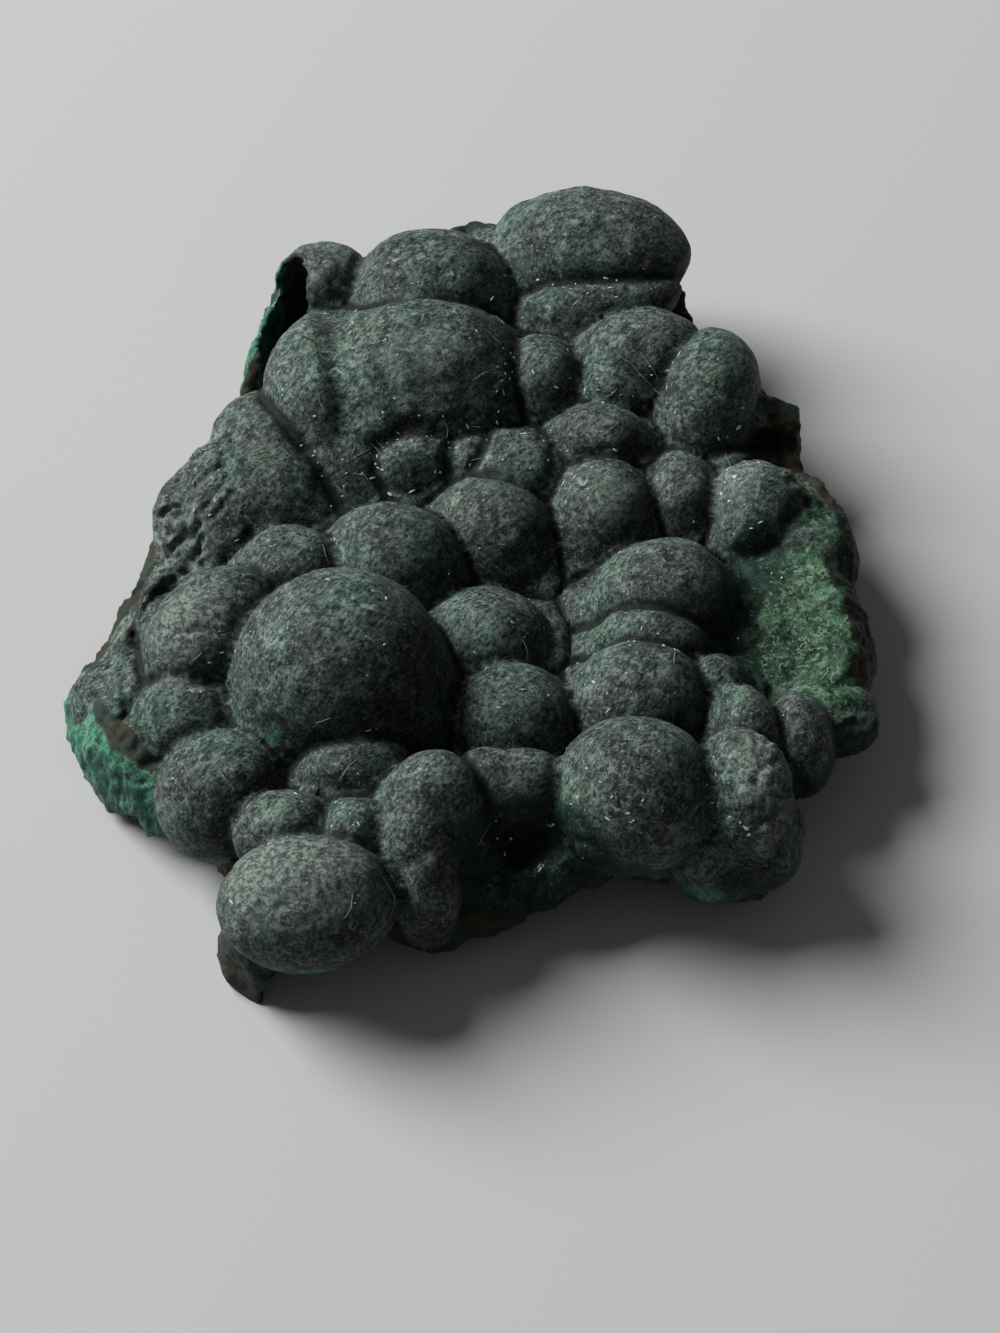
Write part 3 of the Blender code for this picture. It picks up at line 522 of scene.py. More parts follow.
# Lint fibres lying on the skin, each the places it passes.
FIBRES: tuple[Line, ...] = (
    ((-0.1, 22, 17.5), (1.2, 21.6, 16.9), (2, 21.1, 16.5), (2.8, 20.5, 15.9)),
    ((13.8, 20.6, 15.2), (14.7, 19.7, 15), (15.7, 19, 14.7), (16.6, 18.2, 14), (17.6, 17.4, 13.4),
     (18.2, 16.6, 13)),
    ((-13, -2.7, 13.7), (-12.2, -2.4, 13.9), (-11.4, -2.6, 14.4), (-10.7, -3.4, 14.8)),
    ((-13.6, -4.2, 14.1), (-13.2, -5.4, 13.9), (-12.6, -6, 13.5)),
    ((-23.4, -14.2, 15), (-22.9, -14.6, 14.5), (-22.2, -14.9, 13.8), (-21.7, -15, 13.6)),
    ((-9.1, 10.4, 13), (-8.6, 10, 12.7), (-8, 9.5, 12.3)),
    ((-11.4, 8.7, 11.6), (-10.6, 9.3, 11.8), (-9.9, 9.8, 12.2)),
    ((-17.9, 8.8, 13.3), (-17.2, 8.1, 13.1), (-16.3, 8, 13)),
    ((-12.9, 6.4, 11), (-12.3, 6, 10.6), (-11.6, 5.6, 10.2)),
    ((-14.6, 13.3, 16.3), (-14.2, 12.5, 15.9), (-13.6, 12, 15.5)),
    ((-10.5, 17.6, 16.9), (-10.2, 16.7, 16.8), (-9.8, 15.7, 16.7)),
    ((-1.8, -9.4, 11.9), (-0.7, -11, 12.5), (0.4, -11.9, 12.7), (1.3, -12.1, 12.7)),
    ((-0.7, -9.1, 12.3), (1, -9.9, 12.6), (2.6, -10.6, 12.6)),
    ((-6.8, -8.3, 13.5), (-6.2, -8.5, 13.1), (-5.6, -8.3, 13)),
    ((5.5, 17.9, 14.8), (6.4, 19, 15.2), (7.3, 20.5, 15.2)),
    ((-7.3, -40.4, 12.2), (-6.5, -41.6, 10.8), (-6.6, -42.8, 10.3), (-7.1, -44.2, 10.3)),
    ((2.6, -21.2, 12.7), (3.9, -22.2, 12.6)),
    ((4.1, -20.8, 12.9), (5.5, -21.5, 12.7), (6.8, -21.5, 12.2)),
    ((12.4, -10, 10.8), (13, -12.1, 11.8), (13.7, -13, 12.2)),
    ((24.5, 10.5, 11.3), (25, 9.3, 11.1), (25.2, 7, 12.4)),
    ((16.4, 20.1, 15.4), (17.6, 18.8, 14.5), (18.2, 17.8, 13.8)),
)

# Where more short fibres and crumbs lie: centre, spread, fibres, crumbs.
LITTER: tuple[Row, ...] = (
    (-11, 7, 11, 7, 5, 22), (-3, 10, 11, 5, 3, 14), (3.5, 16, 13.5, 4.5, 2, 12),
    (9, 27.5, 14, 6, 2, 10), (14, 14, 13, 7, 3, 14), (25, 6, 12, 4, 3, 14), (-9, 23, 18, 7, 3, 12),
    (-25, 4, 11, 6, 2, 14), (2, -10, 12, 6, 3, 8), (5, -20, 12, 6, 3, 8), (16, -16, 13, 7, 2, 10),
    (-12, -30, 13, 6, 3, 10), (-24, -18, 13, 6, 2, 8), (-13, -42, 13, 6, 3, 8),
    (14, -33, 15, 6, 2, 10), (24, -32, 12, 5, 2, 14), (-9, -18, 20, 6, 2, 5),
    (6, -35, 9, 5, 1, 10),
)

# Lobes that grew as one, with no line between them.
FAMILIES: tuple[tuple[str, ...], ...] = (
    ("high dome", "high dome link", "high dome flank", "high dome apron"),
    ("column head", "column middle", "column foot"), ("brow left", "brow right"),
    ("slope", "slope head", "slope edge"), ("back crest", "back crest foot"),
    ("right ridge", "right flank", "right toe"), ("right lip", "right wall"),
    ("right bud", "right neck"), ("left bud", "corner bud"),
)


class LobeField:
    """Distances to the lobes' skins, for crisp creases and for masks."""

    def __init__(self) -> None:
        """Keep each lobe's centre, turn, radii and slope as arrays, in metres."""
        self.slopes = np.radians([lobe.slope for lobe in LOBES])
        self.centres = np.array([in_frame(lobe.centre) for lobe in LOBES])
        self.radii = np.array([lobe.radii for lobe in LOBES]) * MM
        self.down = np.array([lobe.down for lobe in LOBES]) * MM
        self.spins = np.array([
            Euler((0.0, 0.0, math.radians(lobe.turn))).to_matrix() for lobe in LOBES])
        kin = {name: family[0] for family in FAMILIES for name in family}
        groups: dict[str, list[int]] = {}
        for index, lobe in enumerate(LOBES):
            groups.setdefault(kin.get(lobe.name, lobe.name), []).append(index)
        self.groups = list(groups.values())

    def one(self, index: int, points: Array, hold: Array) -> tuple[Array, Array]:
        """Distance and outward direction for one lobe.

        Args:
            index: which lobe.
            points: points in metres.
            hold: how much of its straight side the lobe has at each point, 0 to 1.

        Returns:
            Near-skin distances, and unit directions away from the lobe.
        """
        local = (points - self.centres[index]) @ self.spins[index]
        radii = np.tile(self.radii[index], (len(points), 1))
        radii[local[:, 2] < 0.0, 2] = self.down[index]
        scaled = local / radii
        wide = np.hypot(scaled[:, 0], scaled[:, 1]) + TINY
        polar = np.arctan2(wide, scaled[:, 2])
        bend = polar + hold * (np.minimum(polar, self.slopes[index]) - polar)
        facing = np.column_stack([scaled[:, 0] / wide * np.sin(bend),
                                  scaled[:, 1] / wide * np.sin(bend), np.cos(bend)])
        off = wide * np.sin(bend) + scaled[:, 2] * np.cos(bend) - 1.0
        off = np.where(polar > self.slopes[index], off, np.linalg.norm(scaled, axis=1) - 1.0)
        slope = facing / radii
        steep = np.linalg.norm(slope, axis=1) + TINY
        return off / steep, (slope / steep[:, None]) @ self.spins[index].T

    def hold(self, points: Array) -> Array:
        """How much of their straight sides the lobes have at each point, less near the rim."""
        return smooth(within(in_tables(points)[:, :2], RIM), *EDGE)

    def nearest(self, points: Array) -> tuple[Array, Array, Array]:
        """Signed distance to the crowd of lobes.

        Args:
            points: points in metres.

        Returns:
            Distance to the nearest skin, distance to the nearest of another family, and the
            nearest's index.
        """
        first, second = np.full(len(points), 1.0), np.full(len(points), 1.0)
        owner = np.zeros(len(points), dtype=int)
        hold = self.hold(points)
        for group in self.groups:
            found = np.array([self.one(index, points, hold)[0] for index in group])
            distance = found.min(axis=0)
            closer = distance < first
            second = np.where(closer, first, np.minimum(second, distance))
            owner = np.where(closer, np.array(group)[found.argmin(axis=0)], owner)
            first = np.minimum(first, distance)
        return first, second, owner

    def settle(self, points: Array, reach: float) -> Array:
        """Move points that lie almost on a lobe exactly onto it.

        Args:
            points: points in metres.
            reach: how far off a lobe a point may be and still move.

        Returns:
            The moved points.
        """
        settled = points.copy()
        hold = self.hold(points)
        first, _second, owner = self.nearest(points)
        for index in range(len(LOBES)):
            mine = np.flatnonzero((owner == index) & (np.abs(first) < reach))
            if len(mine):
                distance, away = self.one(index, points[mine], hold[mine])
                snap = 1.0 - smooth(np.abs(distance), 0.55 * reach, reach)
                settled[mine] -= away * (distance * snap)[:, None]
        return settled


def lumps(points: Array, span: float, kind: str = "cloud", octaves: int = 3,
          tall: float = 1.0) -> Array:
    """Sample a solid texture at many points.

    Args:
        points: points in metres.
        span: width of one lump, in millimetres.
        kind: "cloud" for soft lumps, "cell" for rounded cells, "edge" for their borders.
        octaves: how many finer layers the cloud has.
        tall: how much longer the lumps are upward.

    Returns:
        One number a point, about -1 to 1 for clouds, 0 to 1 for cells and edges.
    """
    spots = points / (span * MM) / np.array([1.0, 1.0, tall])
    if kind == "cloud":
        return np.array([noise.fractal(Vector(spot), 1.0, 2.0, octaves) for spot in spots])
    found = [noise.voronoi(Vector(spot))[0] for spot in spots]
    return np.array([near[0] if kind == "cell" else near[1] - near[0] for near in found])


@dataclass
class StoneForm:
    """The stone's shape: plate, chunks and lobes grown together, hollowed and given relief."""

    coarse_grain: float = 0.62      # grain in which the shapes first grow together
    fine_grain: float = 0.36        # grain of the finished skin
    faces: int = 192000             # most triangles in the finished skin
    valley: float = 8.6             # height of the plate's upper side in its middle
    arch: float = 2.2               # height of its underside there
    rough: float = 0.62             # depth and width of the matrix's small lumps
    rough_span: float = 3.6
    crag: float = 1.15              # depth and width of its large ones
    crag_span: float = 9.5
    reach: float = 0.42             # how near a lobe the skin snaps onto it
    crease_width: float = 1.45
    crease_depth: float = 0.46      # on bare lobes, and more where the crust has filled a gap
    crease_fill: float = 0.50
    skirt: float = 0.6              # how far below its middle a lobe's straight side goes
    skirt_turn: float = 150.0
    drape_turns: int = 20           # how long the crust fills the gaps between lobes
    drape_pace: float = 0.5
    drape_front: float = 0.45       # how much of the fill the front half gets
    lobes: LobeField = field(default_factory=LobeField)

    def roughen(self, body: Body, depth: float, span: float) -> None:
        """Push every vertex in or out by a lumpy, broken texture.

        Args:
            body: the mesh being built.
            depth: how far, in millimetres.
            span: width of one lump, in millimetres.
        """
        body.normal_update()
        moves = []
        for vert in body.verts:
            spot = vert.co / (span * MM)
            soft = noise.fractal(spot, 0.8, 2.1, 4)
            cells = noise.voronoi(spot * 1.3)[0][0] - 0.45
            moves.append(vert.normal * ((0.7 * soft - 0.8 * cells) * depth * MM))
        for vert, move in zip(body.verts, moves):
            vert.co += move

    def merge(self, body: Body, mesh: Mesh) -> None:
        """Add a finished mesh, which is used up, to the body."""
        body.from_mesh(mesh)
        bpy.data.meshes.remove(mesh)

    def add_lobes(self, body: Body) -> None:
        """Add every lobe: an ellipsoid whose sides, where the rim is far, run straight down.

        Args:
            body: the mesh that collects every piece.
        """
        source = ball_body(Matrix(), 5)
        ball = np.array([vert.co[:] for vert in source.verts])
        faces = [tuple(vert.index for vert in face.verts) for face in source.faces]
        source.free()
        reach = np.hypot(ball[:, 0], ball[:, 1])
        polar = np.arctan2(reach, ball[:, 2])
        low = math.radians(self.skirt_turn)
        for lobe in LOBES:
            bend = math.radians(lobe.slope)
            drop = np.clip((polar - bend) / (low - bend), 0.0, 1.0) * (math.cos(bend) + self.skirt)
            wide = math.sin(bend) + drop / math.tan(bend)
            wide = wide * np.clip((math.pi - polar) / (math.pi - low), 0.0, 1.0)
            plain, flared = ball.copy(), ball.copy()
            past = polar > bend
            flared[past, :2] *= (wide / np.maximum(reach, TINY))[past, None]
            flared[past, 2] = (math.cos(bend) - drop)[past]
            for shape in (plain, flared):
                below = lobe.down / lobe.radii[2]
                shape[:, 2] = np.where(shape[:, 2] < 0.0, shape[:, 2] * below, shape[:, 2])
            flared = moved(flared, lobe.matrix())
            hold = self.lobes.hold(flared)[:, None]
            points = moved(plain, lobe.matrix()) * (1.0 - hold) + flared * hold
            mesh = bpy.data.meshes.new(lobe.name)
            mesh.from_pydata([tuple(point) for point in points], [], faces)
            self.merge(body, mesh)

    def add_chunk(self, body: Body, chunk: Chunk) -> None:
        """Add one ellipsoid trimmed by flat breaks.

        Args:
            body: the mesh that collects every piece.
            chunk: the chunk.
        """
        piece = ball_body(chunk.ball.matrix(), 4)
        for outward, distance in chunk.breaks:
            normal = Vector(outward).normalized()
            cut = bmesh.ops.bisect_plane(
                piece, geom=piece.verts[:] + piece.edges[:] + piece.faces[:],
                plane_co=in_frame(Vector(chunk.ball.centre) + normal * distance),
                plane_no=normal, clear_outer=True)
            border = [part for part in cut["geom_cut"] if isinstance(part, bmesh.types.BMEdge)]
            if border:
                bmesh.ops.contextual_create(piece, geom=border)
        bmesh.ops.triangulate(piece, faces=piece.faces[:])
        self.roughen(piece, self.rough * 0.6, self.rough_span)
        self.merge(body, meshed("chunk", piece))

    def plate_ring(self, body: Body, inset: float, upper: bool,
                   share: float) -> list[bmesh.types.BMVert]:
        """Add one ring of the plate: the rim drawn inward and eased towards the middle's height.

        Args:
            body: the plate's mesh.
            inset: how far out the ring lies, 1 at the rim.
            upper: whether it belongs to the upper side.
            share: how far its height has eased, 0 to 1.

        Returns:
            The ring's vertices, in the rim's order.
        """
        ring = []
        for x, y, over, under, flare in RIM:
            out = Vector((x, y, 0.0))
            if not upper:
                out += out.normalized() * flare
            edge, level = (over, self.valley) if upper else (under, self.arch)
            height = edge * (1.0 - share) + level * share
            ring.append(body.verts.new(in_frame((out.x * inset, out.y * inset, height))))
        return ring

    def add_plate(self, body: Body) -> None:
        """Add the rough plate, from the middle of its top over the rim to its underside.

        Args:
            body: the mesh that collects every piece.
        """
        piece = bmesh.new()
        plan = ((0.20, True, 1.0), (0.50, True, 1.0), (0.78, True, 0.7), (0.93, True, 0.25),
                (1.00, True, 0.0), (1.00, False, 0.0), (0.86, False, 0.25),
                (0.55, False, 0.85), (0.20, False, 1.0))
        rings = [self.plate_ring(piece, *row) for row in plan]
        for above, below in zip(rings, rings[1:]):
            for step in range(len(RIM)):
                after = (step + 1) % len(RIM)
                piece.faces.new((above[step], above[after], below[after], below[step]))
        piece.faces.new(list(reversed(rings[0])))
        piece.faces.new(rings[-1])
        bmesh.ops.recalc_face_normals(piece, faces=piece.faces[:])
        bmesh.ops.triangulate(piece, faces=piece.faces[:])
        bmesh.ops.subdivide_edges(piece, edges=piece.edges[:], cuts=3, use_grid_fill=True)
        bmesh.ops.triangulate(piece, faces=piece.faces[:])
        self.roughen(piece, self.crag, self.crag_span)
        self.roughen(piece, self.rough, self.rough_span)
        self.merge(body, meshed("plate", piece))

    def drape(self, mesh: Mesh) -> None:
        """Fill the deep gaps between the lobes, as the crust that covers them does.

        Hollow places move outward a little at a time and nothing moves inward, so the domes keep
        their shape and only the valleys rise.

        Args:
            mesh: the grown skin.
        """
        points, normals = places(mesh), facings(mesh)
        ends = np.empty(len(mesh.edges) * 2, dtype=np.int32)
        mesh.edges.foreach_get("vertices", ends)
        first, second = ends.reshape(-1, 2).T
        count = len(points)
        ties = np.bincount(ends, minlength=count)
        plan = in_tables(points)
        hold = self.lobes.hold(points) * smooth(plan[:, 2], 3.0, 6.0)
        hold *= self.drape_front + (1.0 - self.drape_front) * smooth(plan[:, 1], -10.0, 4.0)
        for ball in BARE:
            hold *= smooth(1.0 - ball.inside(points), 0.8, 1.1)
        for turn in range(self.drape_turns):
            middle = np.empty_like(points)
            for axis in range(3):
                sums = [np.bincount(one, weights=points[other, axis], minlength=count)
                        for one, other in ((first, second), (second, first))]
                middle[:, axis] = (sums[0] + sums[1]) / ties
            rise = np.clip(((middle - points) * normals).sum(axis=1), 0.0, None)
            points = points + normals * (rise * self.drape_pace * hold)[:, None]
            if turn % 4 == 3:
                put(mesh, points)
                normals = facings(mesh)
        put(mesh, points)

    def outer_skin(self, mesh: Mesh) -> None:
        """Keep only the skin that spans the whole stone.

        Args:
            mesh: the grown mesh, which may hold closed voids.
        """
        body = bmesh.new()
        body.from_mesh(mesh)
        left = set(body.verts)
        groups = []
        while left:
            group = [left.pop()]
            for vert in group:
                for edge in vert.link_edges:
                    other = edge.other_vert(vert)
                    if other in left:
                        left.discard(other)
                        group.append(other)
            groups.append(group)
        widest = max(groups, key=len)
        spare = [vert for group in groups if group is not widest for vert in group]
        bmesh.ops.delete(body, geom=spare, context="VERTS")
        body.to_mesh(mesh)
        body.free()

    def through(self, mesh: Mesh, steps: list[tuple[str, dict[str, object]]]) -> Mesh:
        """Run a mesh through modifiers.

        Args:
            mesh: the mesh, which is used up.
            steps: each modifier's type and settings, in order.

        Returns:
            The resulting mesh.
        """
        holder = linked("holder", mesh)
        for kind, settings in steps:
            step = holder.modifiers.new(kind, kind)
            for name, value in settings.items():
                setattr(step, name, value)
        bpy.context.view_layer.update()
        ready = holder.evaluated_get(bpy.context.evaluated_depsgraph_get())
        result = bpy.data.meshes.new_from_object(ready)
        bpy.data.objects.remove(holder, do_unlink=True)
        return result

    def grow(self) -> Mesh:
        """Grow plate, chunks and lobes together and take the hollows away.

        Returns:
            One closed skin at the fine grain.
        """
        body = bmesh.new()
        self.add_plate(body)
        for chunk in CHUNKS:
            self.add_chunk(body, chunk)
        self.add_lobes(body)
        mesh = self.through(meshed("grown", body), [
            ("REMESH", {"mode": "VOXEL", "voxel_size": self.coarse_grain * MM})])
        self.outer_skin(mesh)
        self.drape(mesh)
        tools = []
        for ball in HOLLOWS:
            body = ball_body(ball.matrix(), 3)
            self.roughen(body, self.rough * 0.5, self.rough_span)
            tools.append(linked(ball.name, meshed(ball.name, body)))
        mesh = self.through(mesh, [
            *[("BOOLEAN", {"operation": "DIFFERENCE", "solver": "MANIFOLD", "object": tool})
              for tool in tools],
            ("REMESH", {"mode": "VOXEL", "voxel_size": self.fine_grain * MM})])
        for tool in tools:
            bpy.data.objects.remove(tool, do_unlink=True)
        return mesh

    def hollowed(self, points: Array) -> Array:
        """How deep points lie in the hollows."""
        return np.max([ball.inside(points) for ball in HOLLOWS], axis=0)

    def masks(self, points: Array, normals: Array) -> dict[str, Array]:
        """Say what each point of the skin is.

        Args:
            points: points in metres.
            normals: outward directions there.

        Returns:
            One mask a name, each 0 to 1: crust, crease, the line and the wider band of painted
                shade where lobes meet, the painted light on faces turned to the key lamp, slope and
                the tints.
        """
        first, second, _owner = self.lobes.nearest(points)
        first, apart = first / MM, (second - first) / MM
        plan = in_tables(points)
        x, y, z = plan.T
        covered = smooth(within(plan[:, :2], RIM), 0.6, 2.2)
        for ball in BARE:
            covered *= smooth(1.0 - ball.inside(points), 0.84, 1.0)
        draped = covered * smooth(normals[:, 2], -0.15, 0.15) * smooth(z, 4.6, 6.0)
        crust = np.maximum(1.0 - smooth(first, 0.16, 0.34), draped)
        crust *= 1.0 - smooth(self.hollowed(points), -0.12, -0.04)
        matrix = 1.0 - crust
        lit, left, up = (np.array(Vector(way).normalized()) for way in (
            (-0.60, 0.34, 0.72), (-0.72, -0.68, 0.10), SLAB.breaks[0][0]))
        found = {"crust": crust, "crease": self.crease(first, apart),
                 # painted light: faces turned towards the key lamp come out lighter, faces turned
                 # away darker
                 "painted_light": smooth(normals @ lit, -0.1, 0.85),
                 # painted shade: darkens the skin near where two lobes meet, less on faces turned
                 # to the light
                 "crevice_shade": (1.0 - np.clip(apart / 3.6, 0.0, 1.0)) ** 1.6,
                 # painted shade: the thin line where two lobes meet, later laid in near-black
                 "line": (1.0 - np.clip(apart / 0.9, 0.0, 1.0)) * (1.0 - smooth(first, 2.6, 5.6)),
                 "slope": smooth(x + 0.35 * y, -16.0, -21.0)}
        for tint, rows in PATCHES.items():
            depths = [Ball("", row[:3], row[3:6], row[6]).inside(points) for row in rows]
            here = [smooth(depth, -0.12, 0.45) * row[7] for depth, row in zip(depths, rows)]
            found[tint.value] = np.max(here, axis=0)
        found["brown"] *= 0.35 + 0.65 * matrix
        band = smooth(normals @ left, 0.30, 0.62) * smooth(z, 0.6, 1.8) * smooth(z, 9.6, 8.6)
        band *= smooth(x, -25.6, -27.4) * smooth(y, -12.0, -14.0)
        off = (plan - np.array(SLAB.ball.centre)) @ up - SLAB.breaks[0][1]
        flat = (1.0 - smooth(np.abs(off), 0.5, 0.9)) * smooth(normals @ up, 0.5, 0.8)
        flat *= smooth(x - 0.46 * y, 29.6, 31.6) * smooth(y, 3.0, 0.0)
        found["fresh"] = np.maximum(found["fresh"], band * matrix)
        found["face"] = np.maximum(found["face"], flat * matrix)
        return found

    def crease(self, first: Array, apart: Array) -> Array:
        """How deep the skin lies in the sharp line where two lobes meet.

        Args:
            first: distance to the nearest lobe's skin, in millimetres.
            apart: how much further off the second nearest is.

        Returns:
            1 in the line, 0 out on the lobes.
        """
        share = np.clip(apart / self.crease_width, 0.0, 1.0)
        arc = 1.0 - np.sqrt(1.0 - (1.0 - share) ** 2)
        sides = 0.75 * arc + 0.25 * (1.0 - share) ** 2
        return sides * (1.0 - smooth(first, 2.6, 5.6))

    def relief(self, points: Array, normals: Array) -> Array:
        """Height of the small relief over the skin, in millimetres.

        Args:
            points: points in metres.
            normals: outward directions there.

        Returns:
            How far out each point moves.
        """
        found = self.masks(points, normals)
        plan = in_tables(points)
        flat = plan[:, :2]
        crust = found["crust"]
        matrix = 1.0 - crust
        slope = found["slope"] * crust
        fine = lumps(points, 0.9, octaves=2)
        rubble = lumps(points, 1.5, "edge")
        broken = lumps(points, 1.9, octaves=4)
        shards = smooth(lumps(points, 2.3, "edge"), 0.0, 0.5) - 0.6
        filled = np.clip(self.lobes.nearest(points)[0] / MM, 0.0, 1.4)
        calm = 0.35 + 0.65 * smooth(plan[:, 1], -24.0, -4.0)
        calm *= 1.0 - 0.7 * smooth(LOBES[0].inside(points), -0.25, 0.0)
        facets = 0.17 * lumps(points, 3.4) - 0.16 * (lumps(points, 2.7, "cell") - 0.5)
        height = crust * (0.20 * lumps(points, 6.0, octaves=2) + calm * facets + 0.035 * fine)
        height -= crust * (self.crease_depth + self.crease_fill * filled) * found["crease"]
        height += slope * 0.10 * lumps(points, 1.8, octaves=4)
        fresh = np.maximum(found["fresh"], found["face"])
        lumpy = 0.15 * (1.0 - 0.85 * fresh) * (smooth(rubble, 0.0, 0.35) - 0.7)
        fibres = lumps(points, 0.42, tall=5.0)
        height += matrix * (0.34 * broken + lumpy + fresh * 0.16 * fibres)
        height -= found["dark"] * 0.45 * smooth(broken, -0.3, 0.4)
        for *row, turn, depth in RUGGED:
            here = Ball("", tuple(row[:3]), tuple(row[3:]), turn).inside(points)
            height += smooth(here, 0.0, 0.4) * crust * depth * (0.55 * shards + 0.6 * broken)
        height -= found["pale"] * slope * 0.12 * smooth(rubble, 0.25, 0.0)
        outer = smooth(np.abs(plan[:, 0]), 20.4, 22.4)
        for step, reach, outline in LEDGES:
            beyond = 0.22 * broken - within(flat, outline)
            edge = smooth(beyond, -0.1, 0.35) * smooth(beyond, reach, 0.35 * reach)
            height -= step * outer * edge
        for depth, width, line in CRACKS:
            pieces = zip(line, line[1:])
            away = np.min([off_line(flat, *map(np.array, piece)) for piece in pieces], axis=0)
            open_here = 1.0 - smooth(away + 0.25 * fine, 0.3 * width, 2.2 * width)
            height -= depth * open_here * (normals[:, 2] > 0.1)
        return height * smooth(plan[:, 2], 0.15, 0.9)

    def build(self) -> Piece:
        """Build the finished skin with its masks.

        Returns:
            The stone's object.
        """
        mesh = self.grow()
        log.info("grown skin: %d faces", len(mesh.polygons))
        points = places(mesh)
        keep = 1.0 - smooth(self.hollowed(points), -0.14, -0.05)
        for _turn in range(2):
            points = points + (self.lobes.settle(points, self.reach * MM) - points) * keep[:, None]
        put(mesh, points)
        points, normals = places(mesh), facings(mesh)
        put(mesh, boxed(points + normals * (self.relief(points, normals) * MM)[:, None]))
        ratio = self.faces / (2.0 * len(mesh.polygons))
        mesh = self.through(mesh, [
            ("DECIMATE", {"ratio": min(1.0, ratio), "use_collapse_triangulate": True})])
        mesh.shade_smooth()
        points, normals = places(mesh), facings(mesh)
        put(mesh, boxed(points))
        for name, values in self.masks(points, normals).items():
            layer = mesh.attributes.new(name, "FLOAT", "POINT")
            layer.data.foreach_set("value", values.astype(np.float32))
        mesh.name = "malachite_skin"
        stone = linked("malachite_skin", mesh)
        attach(stone, "root")
        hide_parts("malachite")
        log.info("malachite_skin: %d faces", len(mesh.polygons))
        return stone


def worked(operation: str, reflected: bool = False) -> Callable[[Value, object], Value]:
    """Make an arithmetic method that adds one Math node.

    Args:
        operation: the node's operation.
        reflected: whether the other number goes first.

    Returns:
        The method.
    """
    def method(self: Value, other: object) -> Value:
        """This and the other, put through the Math node."""
        sides = (other, self) if reflected else (self, other)
        return self.graph.maths(operation, *sides)
    return method


@dataclass(frozen=True)
class Value:
    """A number on a shader: a socket that takes part in arithmetic."""

    graph: Graph
    source: Socket

    __add__, __radd__ = worked("ADD"), worked("ADD", True)
    __sub__, __rsub__ = worked("SUBTRACT"), worked("SUBTRACT", True)
    __mul__, __rmul__ = worked("MULTIPLY"), worked("MULTIPLY", True)

    def ease(self, low: float, high: float) -> Value:
        """The number run smoothly from 0 at low to 1 at high."""
        made = self.graph.node("ShaderNodeMapRange", {"interpolation_type": "SMOOTHSTEP"},
                               {"Value": self, "From Min": low, "From Max": high})
        return Value(self.graph, made.outputs["Result"])


